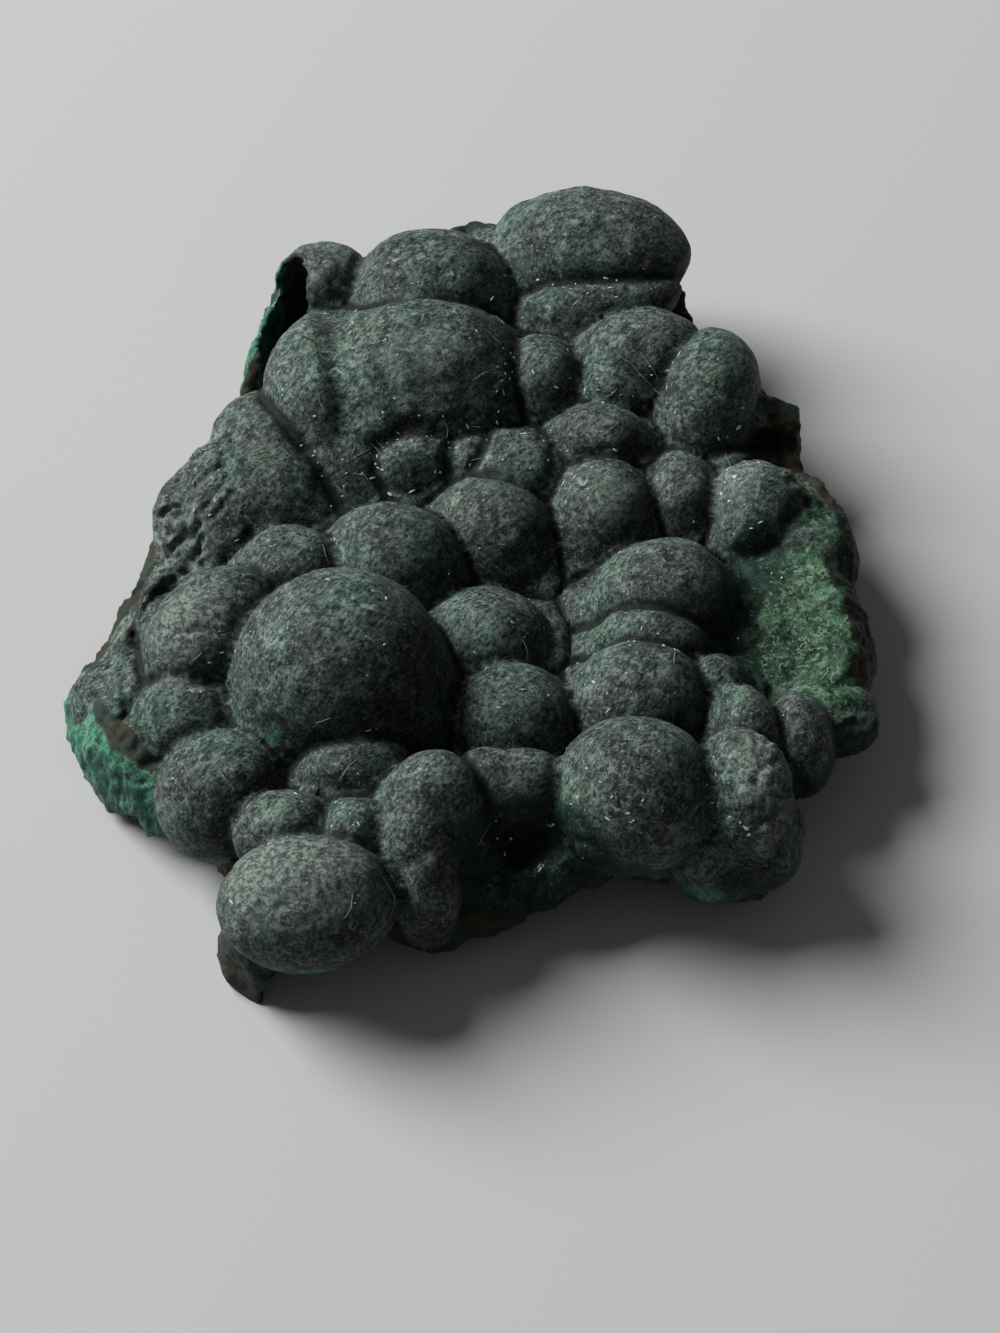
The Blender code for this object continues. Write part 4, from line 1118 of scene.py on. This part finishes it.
class Graph:
    """The node graph of one material."""

    def __init__(self, name: str) -> None:
        """Start a material that holds only its shader and output.

        Args:
            name: the material's name.
        """
        self.material = bpy.data.materials.new(name)
        self.material.use_nodes = True
        self.tree = self.material.node_tree
        self.shader = self.tree.nodes["Principled BSDF"]
        self.place = self.node("ShaderNodeTexCoord", {}, {}).outputs["Object"]

    def node(self, kind: str, settings: dict[str, object],
             inputs: dict[object, object]) -> bpy.types.Node:
        """Add a node.

        Args:
            kind: the node's type.
            settings: its settings by name.
            inputs: socket names or numbers, and the value, colour or link of each.

        Returns:
            The node.
        """
        made = self.tree.nodes.new(kind)
        for name, value in settings.items():
            setattr(made, name, value)
        self.feed(made, inputs)
        return made

    def feed(self, node: bpy.types.Node, inputs: dict[object, object]) -> None:
        """Give a node's sockets their values or links.

        Args:
            node: the node.
            inputs: socket names or numbers, each with a Value, socket, colour, vector or number.
        """
        for name, value in inputs.items():
            socket = node.inputs[name]
            value = value.source if isinstance(value, Value) else value
            if isinstance(value, Socket):
                self.tree.links.new(value, socket)
            elif isinstance(value, tuple) and socket.type == "RGBA":
                socket.default_value = (*value[:3], 1.0)
            else:
                socket.default_value = value

    def cover(self, piece: Piece, inputs: dict[object, object]) -> None:
        """Feed the shader and put the material on a piece.

        Args:
            piece: what it goes on.
            inputs: the shader's sockets, as in feed.
        """
        self.feed(self.shader, inputs)
        piece.data.materials.clear()
        piece.data.materials.append(self.material)

    def maths(self, operation: str, first: object, second: object) -> Value:
        """Two numbers put through a Math node."""
        made = self.node("ShaderNodeMath", {"operation": operation}, {0: first, 1: second})
        return Value(self, made.outputs[0])

    def mask(self, name: str) -> Value:
        """One of the skin's own masks, 0 to 1."""
        made = self.node("ShaderNodeAttribute", {"attribute_name": name}, {})
        return Value(self, made.outputs["Fac"])

    def stretched(self, stretch: Triple, turn: float = 0.0) -> Socket:
        """The place on the skin, squeezed so that textures there come out longer along an axis.

        Args:
            stretch: how much longer along each axis.
            turn: how far the axes are turned about the upright first, in degrees.

        Returns:
            The squeezed place.
        """
        turned = self.node("ShaderNodeVectorRotate", {"rotation_type": "Z_AXIS"},
                           {"Vector": self.place, "Angle": math.radians(turn)})
        return self.node("ShaderNodeVectorMath", {"operation": "DIVIDE"},
                         {0: turned.outputs[0], 1: stretch}).outputs[0]

    def cloud(self, span: float, detail: float = 3.0, gain: float = 0.5,
              place: Socket | None = None) -> Value:
        """Soft lumps.

        Args:
            span: width of one lump, in millimetres.
            detail: how many finer layers it has.
            gain: how strong the finer layers are.
            place: where it is read, or nothing for the skin's own place.

        Returns:
            About 0.2 to 0.8, and 0.5 on average.
        """
        made = self.node("ShaderNodeTexNoise", {}, {
            "Vector": place or self.place, "Scale": 1.0 / (span * MM),
            "Detail": detail, "Roughness": gain})
        return Value(self, made.outputs["Fac"])

    def veins(self, cloud: Row, ease: Row) -> Value:
        """Thin wandering lines, where soft lumps pass through their middle value.

        Args:
            cloud: span, detail, gain and place of the lumps.
            ease: square of the distance from the middle where a line starts, and where it is full.

        Returns:
            1 in the lines, 0 between them.
        """
        lump = self.cloud(*cloud) - 0.5
        return (lump * lump).ease(*ease)

    def cells(self, span: float) -> Value:
        """Distance to the middle of rounded cells of this width in millimetres."""
        made = self.node("ShaderNodeTexVoronoi", {"feature": "F1"}, {
            "Vector": self.place, "Scale": 1.0 / (span * MM)})
        return Value(self, made.outputs["Distance"])

    def blend(self, share: object, under: object, over: object) -> Socket:
        """Lay one colour over another, by a share from 0 to 1."""
        return self.node("ShaderNodeMix", {"data_type": "RGBA"},
                         {0: share, 6: under, 7: over}).outputs[2]

    def flecked(self, colour: object, paint: object, cloud: Row, ease: Row,
                most: float = 1.0) -> Socket:
        """Lay a colour over another in soft flecks.

        Args:
            colour: the colour or link under them.
            paint: the colour or link of the flecks.
            cloud: span, detail and gain of the cloud that spreads them.
            ease: where in the cloud a fleck starts, and where it is full.
            most: how much of it shows there.

        Returns:
            The flecked colour.
        """
        return self.blend(self.cloud(*cloud).ease(*ease) * most, colour, paint)

    def scaled(self, colour: object, by: Value) -> Socket:
        """A colour made lighter or darker by a factor."""
        return self.node("ShaderNodeVectorMath", {"operation": "SCALE"},
                         {"Vector": colour, "Scale": by}).outputs[0]

    def bump(self, height: Value, distance: float, strength: float) -> Socket:
        """The normal bent by fine relief of a height 0 to 1, a distance in millimetres deep."""
        inputs = {"Height": height, "Distance": distance * MM, "Strength": strength}
        return self.node("ShaderNodeBump", {}, inputs).outputs["Normal"]


@dataclass(frozen=True)
class VelvetFinish:
    """Dark grey-green velvet over mottled matrix, with bright breaks where it is fresh."""

    velvet: Triple = (0.124, 0.156, 0.142)
    velvet_low: Triple = (0.064, 0.083, 0.078)
    velvet_green: Triple = (0.084, 0.148, 0.116)
    velvet_earth: Triple = (0.130, 0.138, 0.114)
    velvet_grain: Triple = (0.320, 0.375, 0.340)
    # near-black painted shade for the lines where lobes meet, also used for the dark flecks of the
    # grain
    crease: Triple = (0.009, 0.014, 0.012)
    glint: Triple = (0.560, 0.620, 0.580)
    matrix: Triple = (0.034, 0.056, 0.044)
    matrix_brown: Triple = (0.052, 0.042, 0.026)
    matrix_dust: Triple = (0.120, 0.140, 0.118)
    emerald: Triple = (0.098, 0.335, 0.218)
    emerald_deep: Triple = (0.030, 0.120, 0.080)
    emerald_pale: Triple = (0.240, 0.420, 0.320)
    moss: Triple = (0.066, 0.150, 0.086)
    moss_deep: Triple = (0.014, 0.040, 0.025)
    moss_pale: Triple = (0.240, 0.360, 0.240)
    # dark green of thin crust, also laid as painted shade in a shadowed valley, hollows and
    # undersides
    deep: Triple = (0.008, 0.019, 0.014)
    deep_green: Triple = (0.021, 0.056, 0.038)
    brown: Triple = (0.036, 0.029, 0.019)
    brown_rust: Triple = (0.085, 0.056, 0.028)
    pale: Triple = (0.270, 0.325, 0.280)
    # near-black painted shade for open pits and notches
    dark: Triple = (0.006, 0.009, 0.007)
    roughness: float = 0.66
    sheen: float = 0.05
    sheen_roughness: float = 0.35
    specular: float = 0.16

    def velvet_colour(self, graph: Graph) -> Socket:
        """Colour of the lobes' crust, with painted shade in the thin lines where lobes meet.

        Args:
            graph: the material's graph.

        Returns:
            The colour.
        """
        drift = (0.5 * graph.cloud(7.0, 3.0) + 0.5 * graph.cloud(2.1, 3.0)).ease(0.40, 0.60)
        colour = graph.blend(drift, self.velvet_low, self.velvet)
        colour = graph.flecked(colour, self.velvet_green, (7.0, 5.0, 0.6), (0.42, 0.60), 0.85)
        colour = graph.flecked(colour, self.velvet_earth, (3.6, 5.0, 0.65), (0.52, 0.70), 0.6)
        brushed = graph.stretched((1.0, 2.6, 1.0), 38.0)
        grain = graph.cloud(0.30, 3.0, 0.75, brushed).ease(0.34, 0.66)
        clot = graph.cloud(0.90, 3.0, 0.7, brushed).ease(0.34, 0.66)
        patchy = graph.cloud(1.9, 3.0, 0.6).ease(0.32, 0.68)
        colour = graph.scaled(colour, (0.26 + 1.34 * grain) * (0.66 + 0.66 * clot)
                              * (0.70 + 0.60 * patchy))
        colour = graph.flecked(colour, self.velvet_grain, (0.42, 2.0, 0.8), (0.57, 0.69), 0.75)
        colour = graph.flecked(colour, self.velvet_grain, (0.95, 3.0, 0.75), (0.56, 0.66), 0.5)
        colour = graph.flecked(colour, self.crease, (0.60, 3.0, 0.7), (0.48, 0.32), 0.85)
        glint = graph.cells(1.1).ease(0.13, 0.07) * graph.cloud(3.1, 2.0).ease(0.52, 0.60)
        colour = graph.blend(glint * 0.9, colour, self.glint)
        hair = graph.veins((2.3, 1.0, 0.5), (0.00022, 0.00003))
        hair = hair * graph.cloud(2.5, 3.0, 0.6).ease(0.60, 0.68)
        colour = graph.blend(hair * 0.5, colour, self.glint)
        # Painted shade: the thin line where two lobes meet is laid in the near-black crease colour.
        uneven = graph.cloud(1.2, 3.0, 0.6) - 0.5
        line = (graph.mask("line") * (1.0 + 1.1 * uneven)).ease(0.22, 0.72)
        return graph.blend(line * 0.94, colour, self.crease)

    def matrix_colour(self, graph: Graph) -> Socket:
        """Colour of the rough matrix.

        Args:
            graph: the material's graph.

        Returns:
            The colour.
        """
        colour = graph.flecked(self.matrix, self.matrix_brown, (3.2, 4.0, 0.6), (0.42, 0.62))
        colour = graph.flecked(colour, self.emerald_deep, (1.3, 4.0, 0.65), (0.56, 0.72), 0.6)
        return graph.flecked(colour, self.matrix_dust, (0.8, 3.0, 0.7), (0.56, 0.80), 0.6)

    def fresh_colour(self, graph: Graph) -> Socket:
        """Colour of a fresh, fibrous break.

        Args:
            graph: the material's graph.

        Returns:
            The colour.
        """
        along = graph.stretched((1.0, 1.0, 5.0))
        colour = graph.flecked(self.emerald_deep, self.emerald, (0.55, 4.0, 0.65, along),
                               (0.36, 0.64))
        colour = graph.flecked(colour, self.emerald_deep, (2.6, 2.0, 0.5), (0.44, 0.68), 0.6)
        web = graph.veins((1.2, 4.0, 0.6), (0.0016, 0.0002))
        web = web * graph.cloud(1.6, 3.0).ease(0.42, 0.56)
        colour = graph.blend(web * 0.7, colour, self.emerald_pale)
        return graph.flecked(colour, self.emerald_pale, (0.40, 3.0, 0.75), (0.58, 0.70), 0.6)

    def face_colour(self, graph: Graph) -> Socket:
        """Colour of the mottled broken shoulder.

        Args:
            graph: the material's graph.

        Returns:
            The colour.
        """
        colour = graph.flecked(self.moss_deep, self.moss, (1.5, 4.0, 0.65), (0.42, 0.58))
        zone = graph.cloud(3.4, 3.0, 0.6).ease(0.40, 0.60)
        colour = graph.scaled(colour, 0.62 + 0.58 * zone)
        tall = graph.stretched((1.0, 1.0, 1.8))
        web = graph.veins((0.9, 4.0, 0.6, tall), (0.0020, 0.0002))
        web = web * graph.cloud(1.2, 3.0, 0.6).ease(0.40, 0.56)
        colour = graph.blend(web * 0.75, colour, self.moss_pale)
        colour = graph.flecked(colour, self.moss_pale, (0.45, 3.0, 0.75), (0.56, 0.70), 0.75)
        return graph.flecked(colour, self.moss_deep, (0.55, 3.0, 0.7), (0.48, 0.36), 0.9)

    def deep_and_shade_colour(self, graph: Graph) -> Socket:
        """Colour of the dark green ground where the crust is thin, also laid as painted shade in a
        shadowed valley, the hollows and under the edges.

        Args:
            graph: the material's graph.

        Returns:
            The colour.
        """
        colour = graph.flecked(self.deep, self.deep_green, (1.8, 4.0, 0.65), (0.40, 0.62))
        grain = graph.cloud(0.32, 3.0, 0.8).ease(0.30, 0.70)
        colour = graph.scaled(colour, 0.35 + 1.3 * grain)
        return graph.flecked(colour, self.moss_pale, (0.50, 3.0, 0.75), (0.58, 0.72), 0.6)

    def dress(self, piece: Piece) -> None:
        """Give the piece this finish.

        Args:
            piece: the stone.
        """
        graph = Graph("malachite_velvet")
        velvet, matrix = self.velvet_colour(graph), self.matrix_colour(graph)
        ragged = graph.cloud(0.7, 3.0, 0.6) - 0.5
        crust = (graph.mask("crust") + 0.5 * ragged).ease(0.30, 0.70)
        colour = graph.blend(crust, matrix, velvet)
        spread = graph.cloud(1.8, 4.0, 0.65) - 0.5
        brown = graph.flecked(self.brown, self.brown_rust, (1.6, 4.0, 0.65), (0.50, 0.70), 0.7)
        pale = graph.flecked(self.velvet_low, self.pale, (0.5, 4.0, 0.75), (0.42, 0.60))
        # The deep-green layer is partly painted shade; the near-black pit layer is painted shade.
        layers = ((Tint.DEEP_AND_SHADE, self.deep_and_shade_colour(graph), 1.7), (Tint.BROWN, brown, 0.9),
                  (Tint.FACE, self.face_colour(graph), 0.9),
                  (Tint.FRESH, self.fresh_colour(graph), 0.7), (Tint.PALE, pale, 2.4),
                  (Tint.DARK, self.dark, 0.8))
        for tint, paint, loose in layers:
            share = (graph.mask(tint.value) * (1.0 + loose * spread)).ease(0.22, 0.68)
            colour = graph.blend(share, colour, paint)
        # Painted light and shade: lighter on faces turned to the key lamp, darker on faces turned
        # away and near where lobes meet.
        painted_light, crevice_shade = graph.mask("painted_light"), graph.mask("crevice_shade")
        colour = graph.scaled(colour, (0.50 + 0.62 * painted_light) * (1.0 - crevice_shade * (0.46 - 0.34 * painted_light)))
        fine, coarse = graph.cloud(0.26, 3.0, 0.65), graph.cloud(1.1, 4.0, 0.6)
        relief = fine * 0.6 + coarse * (1.3 - 0.6 * crust)
        graph.cover(piece, {
            "Base Color": colour, "Normal": graph.bump(relief, 0.14, 0.75),
            "Roughness": self.roughness + 0.25 * (fine - 0.5), "Sheen Weight": self.sheen,
            "Sheen Roughness": self.sheen_roughness, "Specular IOR Level": self.specular})


@dataclass
class Litter:
    """Lint fibres and pale crumbs that lie on the stone's skin."""

    stone: Piece
    seed: int = 41
    fibre_radius: float = 0.030
    fibre_sides: int = 4
    fibre_step: float = 0.3
    fibre_lift: float = 0.07        # how far a fibre bows off the skin
    crumb_size: float = 0.19        # usual width of a scattered crumb
    tries: int = 4                  # places drawn for each crumb before one is kept
    top: float = SOLID_BOX[1][2] / MM - 0.25

    def __post_init__(self) -> None:
        """Get the skin ready to be searched, and the draws started."""
        mesh = self.stone.data
        self.skin = BVHTree.FromPolygons(
            [vert.co for vert in mesh.vertices], [tuple(face.vertices) for face in mesh.polygons])
        self.draws = random.Random(self.seed)
        self.deep = np.empty(len(mesh.vertices), dtype=np.float32)
        mesh.attributes["crease"].data.foreach_get("value", self.deep)

    def on_skin(self, spot: Triple) -> tuple[Vector, Vector]:
        """Nearest place on the skin to a place in the tables, and the direction outward there."""
        found = self.skin.find_nearest(in_frame(spot))
        return found[0] / MM, found[1]

    def near(self, centre: Triple, spread: float, lift: float) -> Triple:
        """Draw a place at random round a centre, and lift it."""
        x, y = [centre[axis] + self.draws.gauss(0.0, spread) for axis in (0, 1)]
        return x, y, centre[2] + lift

    def caught(self, centre: Triple, spread: float) -> tuple[Vector, Vector]:
        """Draw places near a centre and keep the one deepest in a crease.

        Args:
            centre: the centre, in the tables' millimetres.
            spread: how far off the places may lie.

        Returns:
            The place in the part's frame, and the direction outward there.
        """
        best, depth = None, -1.0
        for _try in range(self.tries):
            found = self.skin.find_nearest(in_frame(self.near(centre, 0.5 * spread, 1.0)))
            corner = self.stone.data.polygons[found[2]].vertices[0]
            if self.deep[corner] > depth:
                best, depth = found, float(self.deep[corner])
        return best[0] / MM, best[1]

    def along(self, spots: Line) -> list[Vector]:
        """Draw a smooth line over the skin through listed places.

        Args:
            spots: places in the tables, in millimetres.

        Returns:
            Close steps of the line, in millimetres in the part's frame.
        """
        marks = [self.on_skin(spot)[0] for spot in spots]
        marks = [2 * marks[0] - marks[1], *marks, 2 * marks[-1] - marks[-2]]
        line = []
        for a, b, c, d in zip(marks, marks[1:], marks[2:], marks[3:]):
            steps = max(2, int((c - b).length / self.fibre_step))
            for t in (step / steps for step in range(steps)):
                line.append(0.5 * (2 * b + (c - a) * t + (2 * a - 5 * b + 4 * c - d) * t * t
                                   + (3 * b - a - 3 * c + d) * t ** 3))
        return [*line, marks[-2]]

    def stray(self, centre: Triple, spread: float) -> list[Vector]:
        """Draw a short curling line at random near a place.

        Args:
            centre: the place, in the tables' millimetres.
            spread: how far off the line may start.

        Returns:
            Close steps of the line.
        """
        spot, out = self.on_skin(self.near(centre, 0.45 * spread, 2.0))
        heading = Vector((self.draws.uniform(-1, 1), self.draws.uniform(-1, 1), 0.0))
        heading = (heading - out * heading.dot(out)).normalized()
        curl = self.draws.gauss(0.0, 0.06)
        line = [spot]
        for _step in range(self.draws.randint(3, 8)):
            found = self.skin.find_nearest((line[-1] + heading * self.fibre_step) * MM)
            line.append(found[0] / MM)
            heading = Matrix.Rotation(curl + self.draws.gauss(0.0, 0.08), 3, found[1]) @ heading
            heading = (heading - found[1] * heading.dot(found[1])).normalized()
        return line

    def add_fibre(self, body: Body, line: list[Vector]) -> None:
        """Sweep a thin closed thread along a line, just off the skin.

        Args:
            body: the mesh being built.
            line: the line's steps, in millimetres in the part's frame.
        """
        rings = []
        last = len(line) - 1
        for index, spot in enumerate(line):
            found, out = self.skin.find_nearest(spot * MM)[:2]
            wave = math.sin(math.pi * index / last) * (1.0 + 0.6 * math.sin(2.1 * index))
            middle = found / MM + out * (self.fibre_radius * 0.6 + self.fibre_lift * wave)
            middle.z = min(middle.z, self.top)
            ahead = (line[min(index + 1, last)] - line[max(index - 1, 0)]).normalized()
            side = out.cross(ahead).normalized()
            up = ahead.cross(side)
            thick = self.fibre_radius * (0.45 if index in (0, last) else 1.0)
            turns = [math.tau * k / self.fibre_sides for k in range(self.fibre_sides)]
            rings.append([body.verts.new((middle + side * math.cos(turn) * thick
                                          + up * math.sin(turn) * thick) * MM) for turn in turns])
        for first, second in zip(rings, rings[1:]):
            for k in range(self.fibre_sides):
                n = (k + 1) % self.fibre_sides
                body.faces.new((first[k], first[n], second[n], second[k]))
        body.faces.new(rings[0][::-1])
        body.faces.new(rings[-1])

    def add_crumb(self, body: Body, spot: Vector, out: Vector, size: tuple[float, float],
                  heading: float) -> None:
        """Set one broken crumb into the skin.

        Args:
            body: the mesh being built.
            spot: where, in millimetres in the part's frame.
            out: the direction outward there.
            size: length and width.
            heading: direction of the length, in degrees.
        """
        if spot.z > self.top:
            return
        turn = math.radians(heading)
        long = Vector((math.cos(turn), math.sin(turn), 0.0))
        long = (long - out * long.dot(out)).normalized()
        wide = out.cross(long)
        lump = ball_body(Matrix(), 1)
        spots = []
        for vert in lump.verts:
            uneven = self.draws.uniform(0.55, 1.1)
            across = long * (vert.co.x * size[0] / 2) + wide * (vert.co.y * size[1] / 2)
            rise = out * (vert.co.z * min(size[1] * 0.45, 0.14))
            spots.append(body.verts.new((spot + (across + rise) * uneven) * MM))
        for face in lump.faces:
            body.faces.new([spots[vert.index] for vert in face.verts])
        lump.free()

    def piece(self, name: str, body: Body) -> Piece:
        """Turn a mesh into a piece that rides on the stone.

        Args:
            name: the piece's name.
            body: its mesh, which is used up.

        Returns:
            The piece.
        """
        bmesh.ops.recalc_face_normals(body, faces=body.faces)
        mesh = meshed(name, body)
        put(mesh, boxed(places(mesh)))
        made = linked(name, mesh)
        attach(made, "root")
        log.info("%s: %d faces", name, len(mesh.polygons))
        return made

    def build(self) -> tuple[Piece, Piece]:
        """Build the lint and the crumbs.

        Returns:
            The lint piece and the crumb piece.
        """
        threads, crumbs = bmesh.new(), bmesh.new()
        for spots in FIBRES:
            self.add_fibre(threads, self.along(spots))
        for *spot, length, width, heading in CRUMBS:
            self.add_crumb(crumbs, *self.on_skin(spot), (length, width), heading)
        for *centre, spread, fibres, bits in LITTER:
            for _fibre in range(fibres):
                self.add_fibre(threads, self.stray(centre, spread))
            for _bit in range(bits):
                spot, out = self.caught(centre, spread)
                width = self.crumb_size * self.draws.uniform(0.6, 1.5)
                self.add_crumb(crumbs, spot, out, (width * self.draws.uniform(1.2, 3.6), width),
                               self.draws.uniform(0.0, 180.0))
        return self.piece("malachite_lint", threads), self.piece("malachite_crumbs", crumbs)


@dataclass(frozen=True)
class PlainFinish:
    """One even colour."""

    name: str
    colour: Triple
    roughness: float
    specular: float = 0.3

    def dress(self, piece: Piece) -> None:
        """Give the piece this finish."""
        Graph(self.name).cover(piece, {"Base Color": self.colour, "Roughness": self.roughness,
                                       "Specular IOR Level": self.specular})


@dataclass
class Studio:
    """The pale floor, the large soft key light from the left and behind, and the camera."""

    aim: Triple = (2.8, -14.1, 10.0)            # what the camera looks at
    elevation: float = 50.0                     # how far above level it looks from
    distance: float = 260.0
    lens: float = 77.24
    floor_side: float = 4.0
    key_from: Triple = (-0.70, 0.36, 0.62)
    key_distance: float = 1.6
    key_size: float = 1.08
    key_power: float = 29.4
    fill: float = 0.066
    floor: PlainFinish = PlainFinish("pale_floor", (0.75, 0.75, 0.755), 0.9, 0.2)

    def add_floor(self) -> None:
        """Lay the floor."""
        half = self.floor_side / 2.0
        corners = [(x * half, y * half, 0.0) for x, y in ((-1, -1), (1, -1), (1, 1), (-1, 1))]
        mesh = bpy.data.meshes.new("floor")
        mesh.from_pydata(corners, [], [(0, 1, 2, 3)])
        floor = linked("floor", mesh)
        self.floor.dress(floor)

    def add_lights(self) -> None:
        """Hang the key light and set the even fill."""
        toward = Vector(self.key_from).normalized()
        lamp = bpy.data.lights.new("key", "AREA")
        lamp.shape = "DISK"
        lamp.size = self.key_size
        lamp.energy = self.key_power
        key = linked("key", lamp)
        key.location = toward * self.key_distance
        key.rotation_euler = toward.to_track_quat("Z", "Y").to_euler()
        world = bpy.data.worlds.new("even_fill")
        world.use_nodes = True
        back = world.node_tree.nodes["Background"]
        back.inputs["Color"].default_value = (1.0, 1.0, 1.0, 1.0)
        back.inputs["Strength"].default_value = self.fill
        bpy.context.scene.world = world

    def add_camera(self) -> None:
        """Stand the camera in front, looking down on the stone."""
        lean = math.radians(self.elevation)
        away = Vector((0.0, -math.cos(lean), math.sin(lean))) * self.distance * MM
        lens = bpy.data.cameras.new("camera")
        lens.lens = self.lens
        lens.clip_start = 0.01
        camera = linked("camera", lens)
        camera.location = Vector(self.aim) * MM + away
        camera.rotation_euler = (math.pi / 2.0 - lean, 0.0, 0.0)
        bpy.context.scene.camera = camera

    def build(self) -> None:
        """Set everything up."""
        self.add_floor()
        self.add_lights()
        self.add_camera()
        bpy.context.scene.view_settings.view_transform = "Standard"
        log.info("studio: floor, key light, fill and camera")


def main() -> None:
    """Build the stone and its studio in order."""
    Studio().build()
    stone = StoneForm().build()
    VelvetFinish().dress(stone)
    lint, crumbs = Litter(stone).build()
    PlainFinish("lint_grey", (0.34, 0.38, 0.36), 0.7).dress(lint)
    PlainFinish("crumb_white", (0.66, 0.72, 0.68), 0.6).dress(crumbs)


if __name__ == "__main__":
    logging.basicConfig(level=logging.INFO, format="%(name)s: %(message)s")
    main()
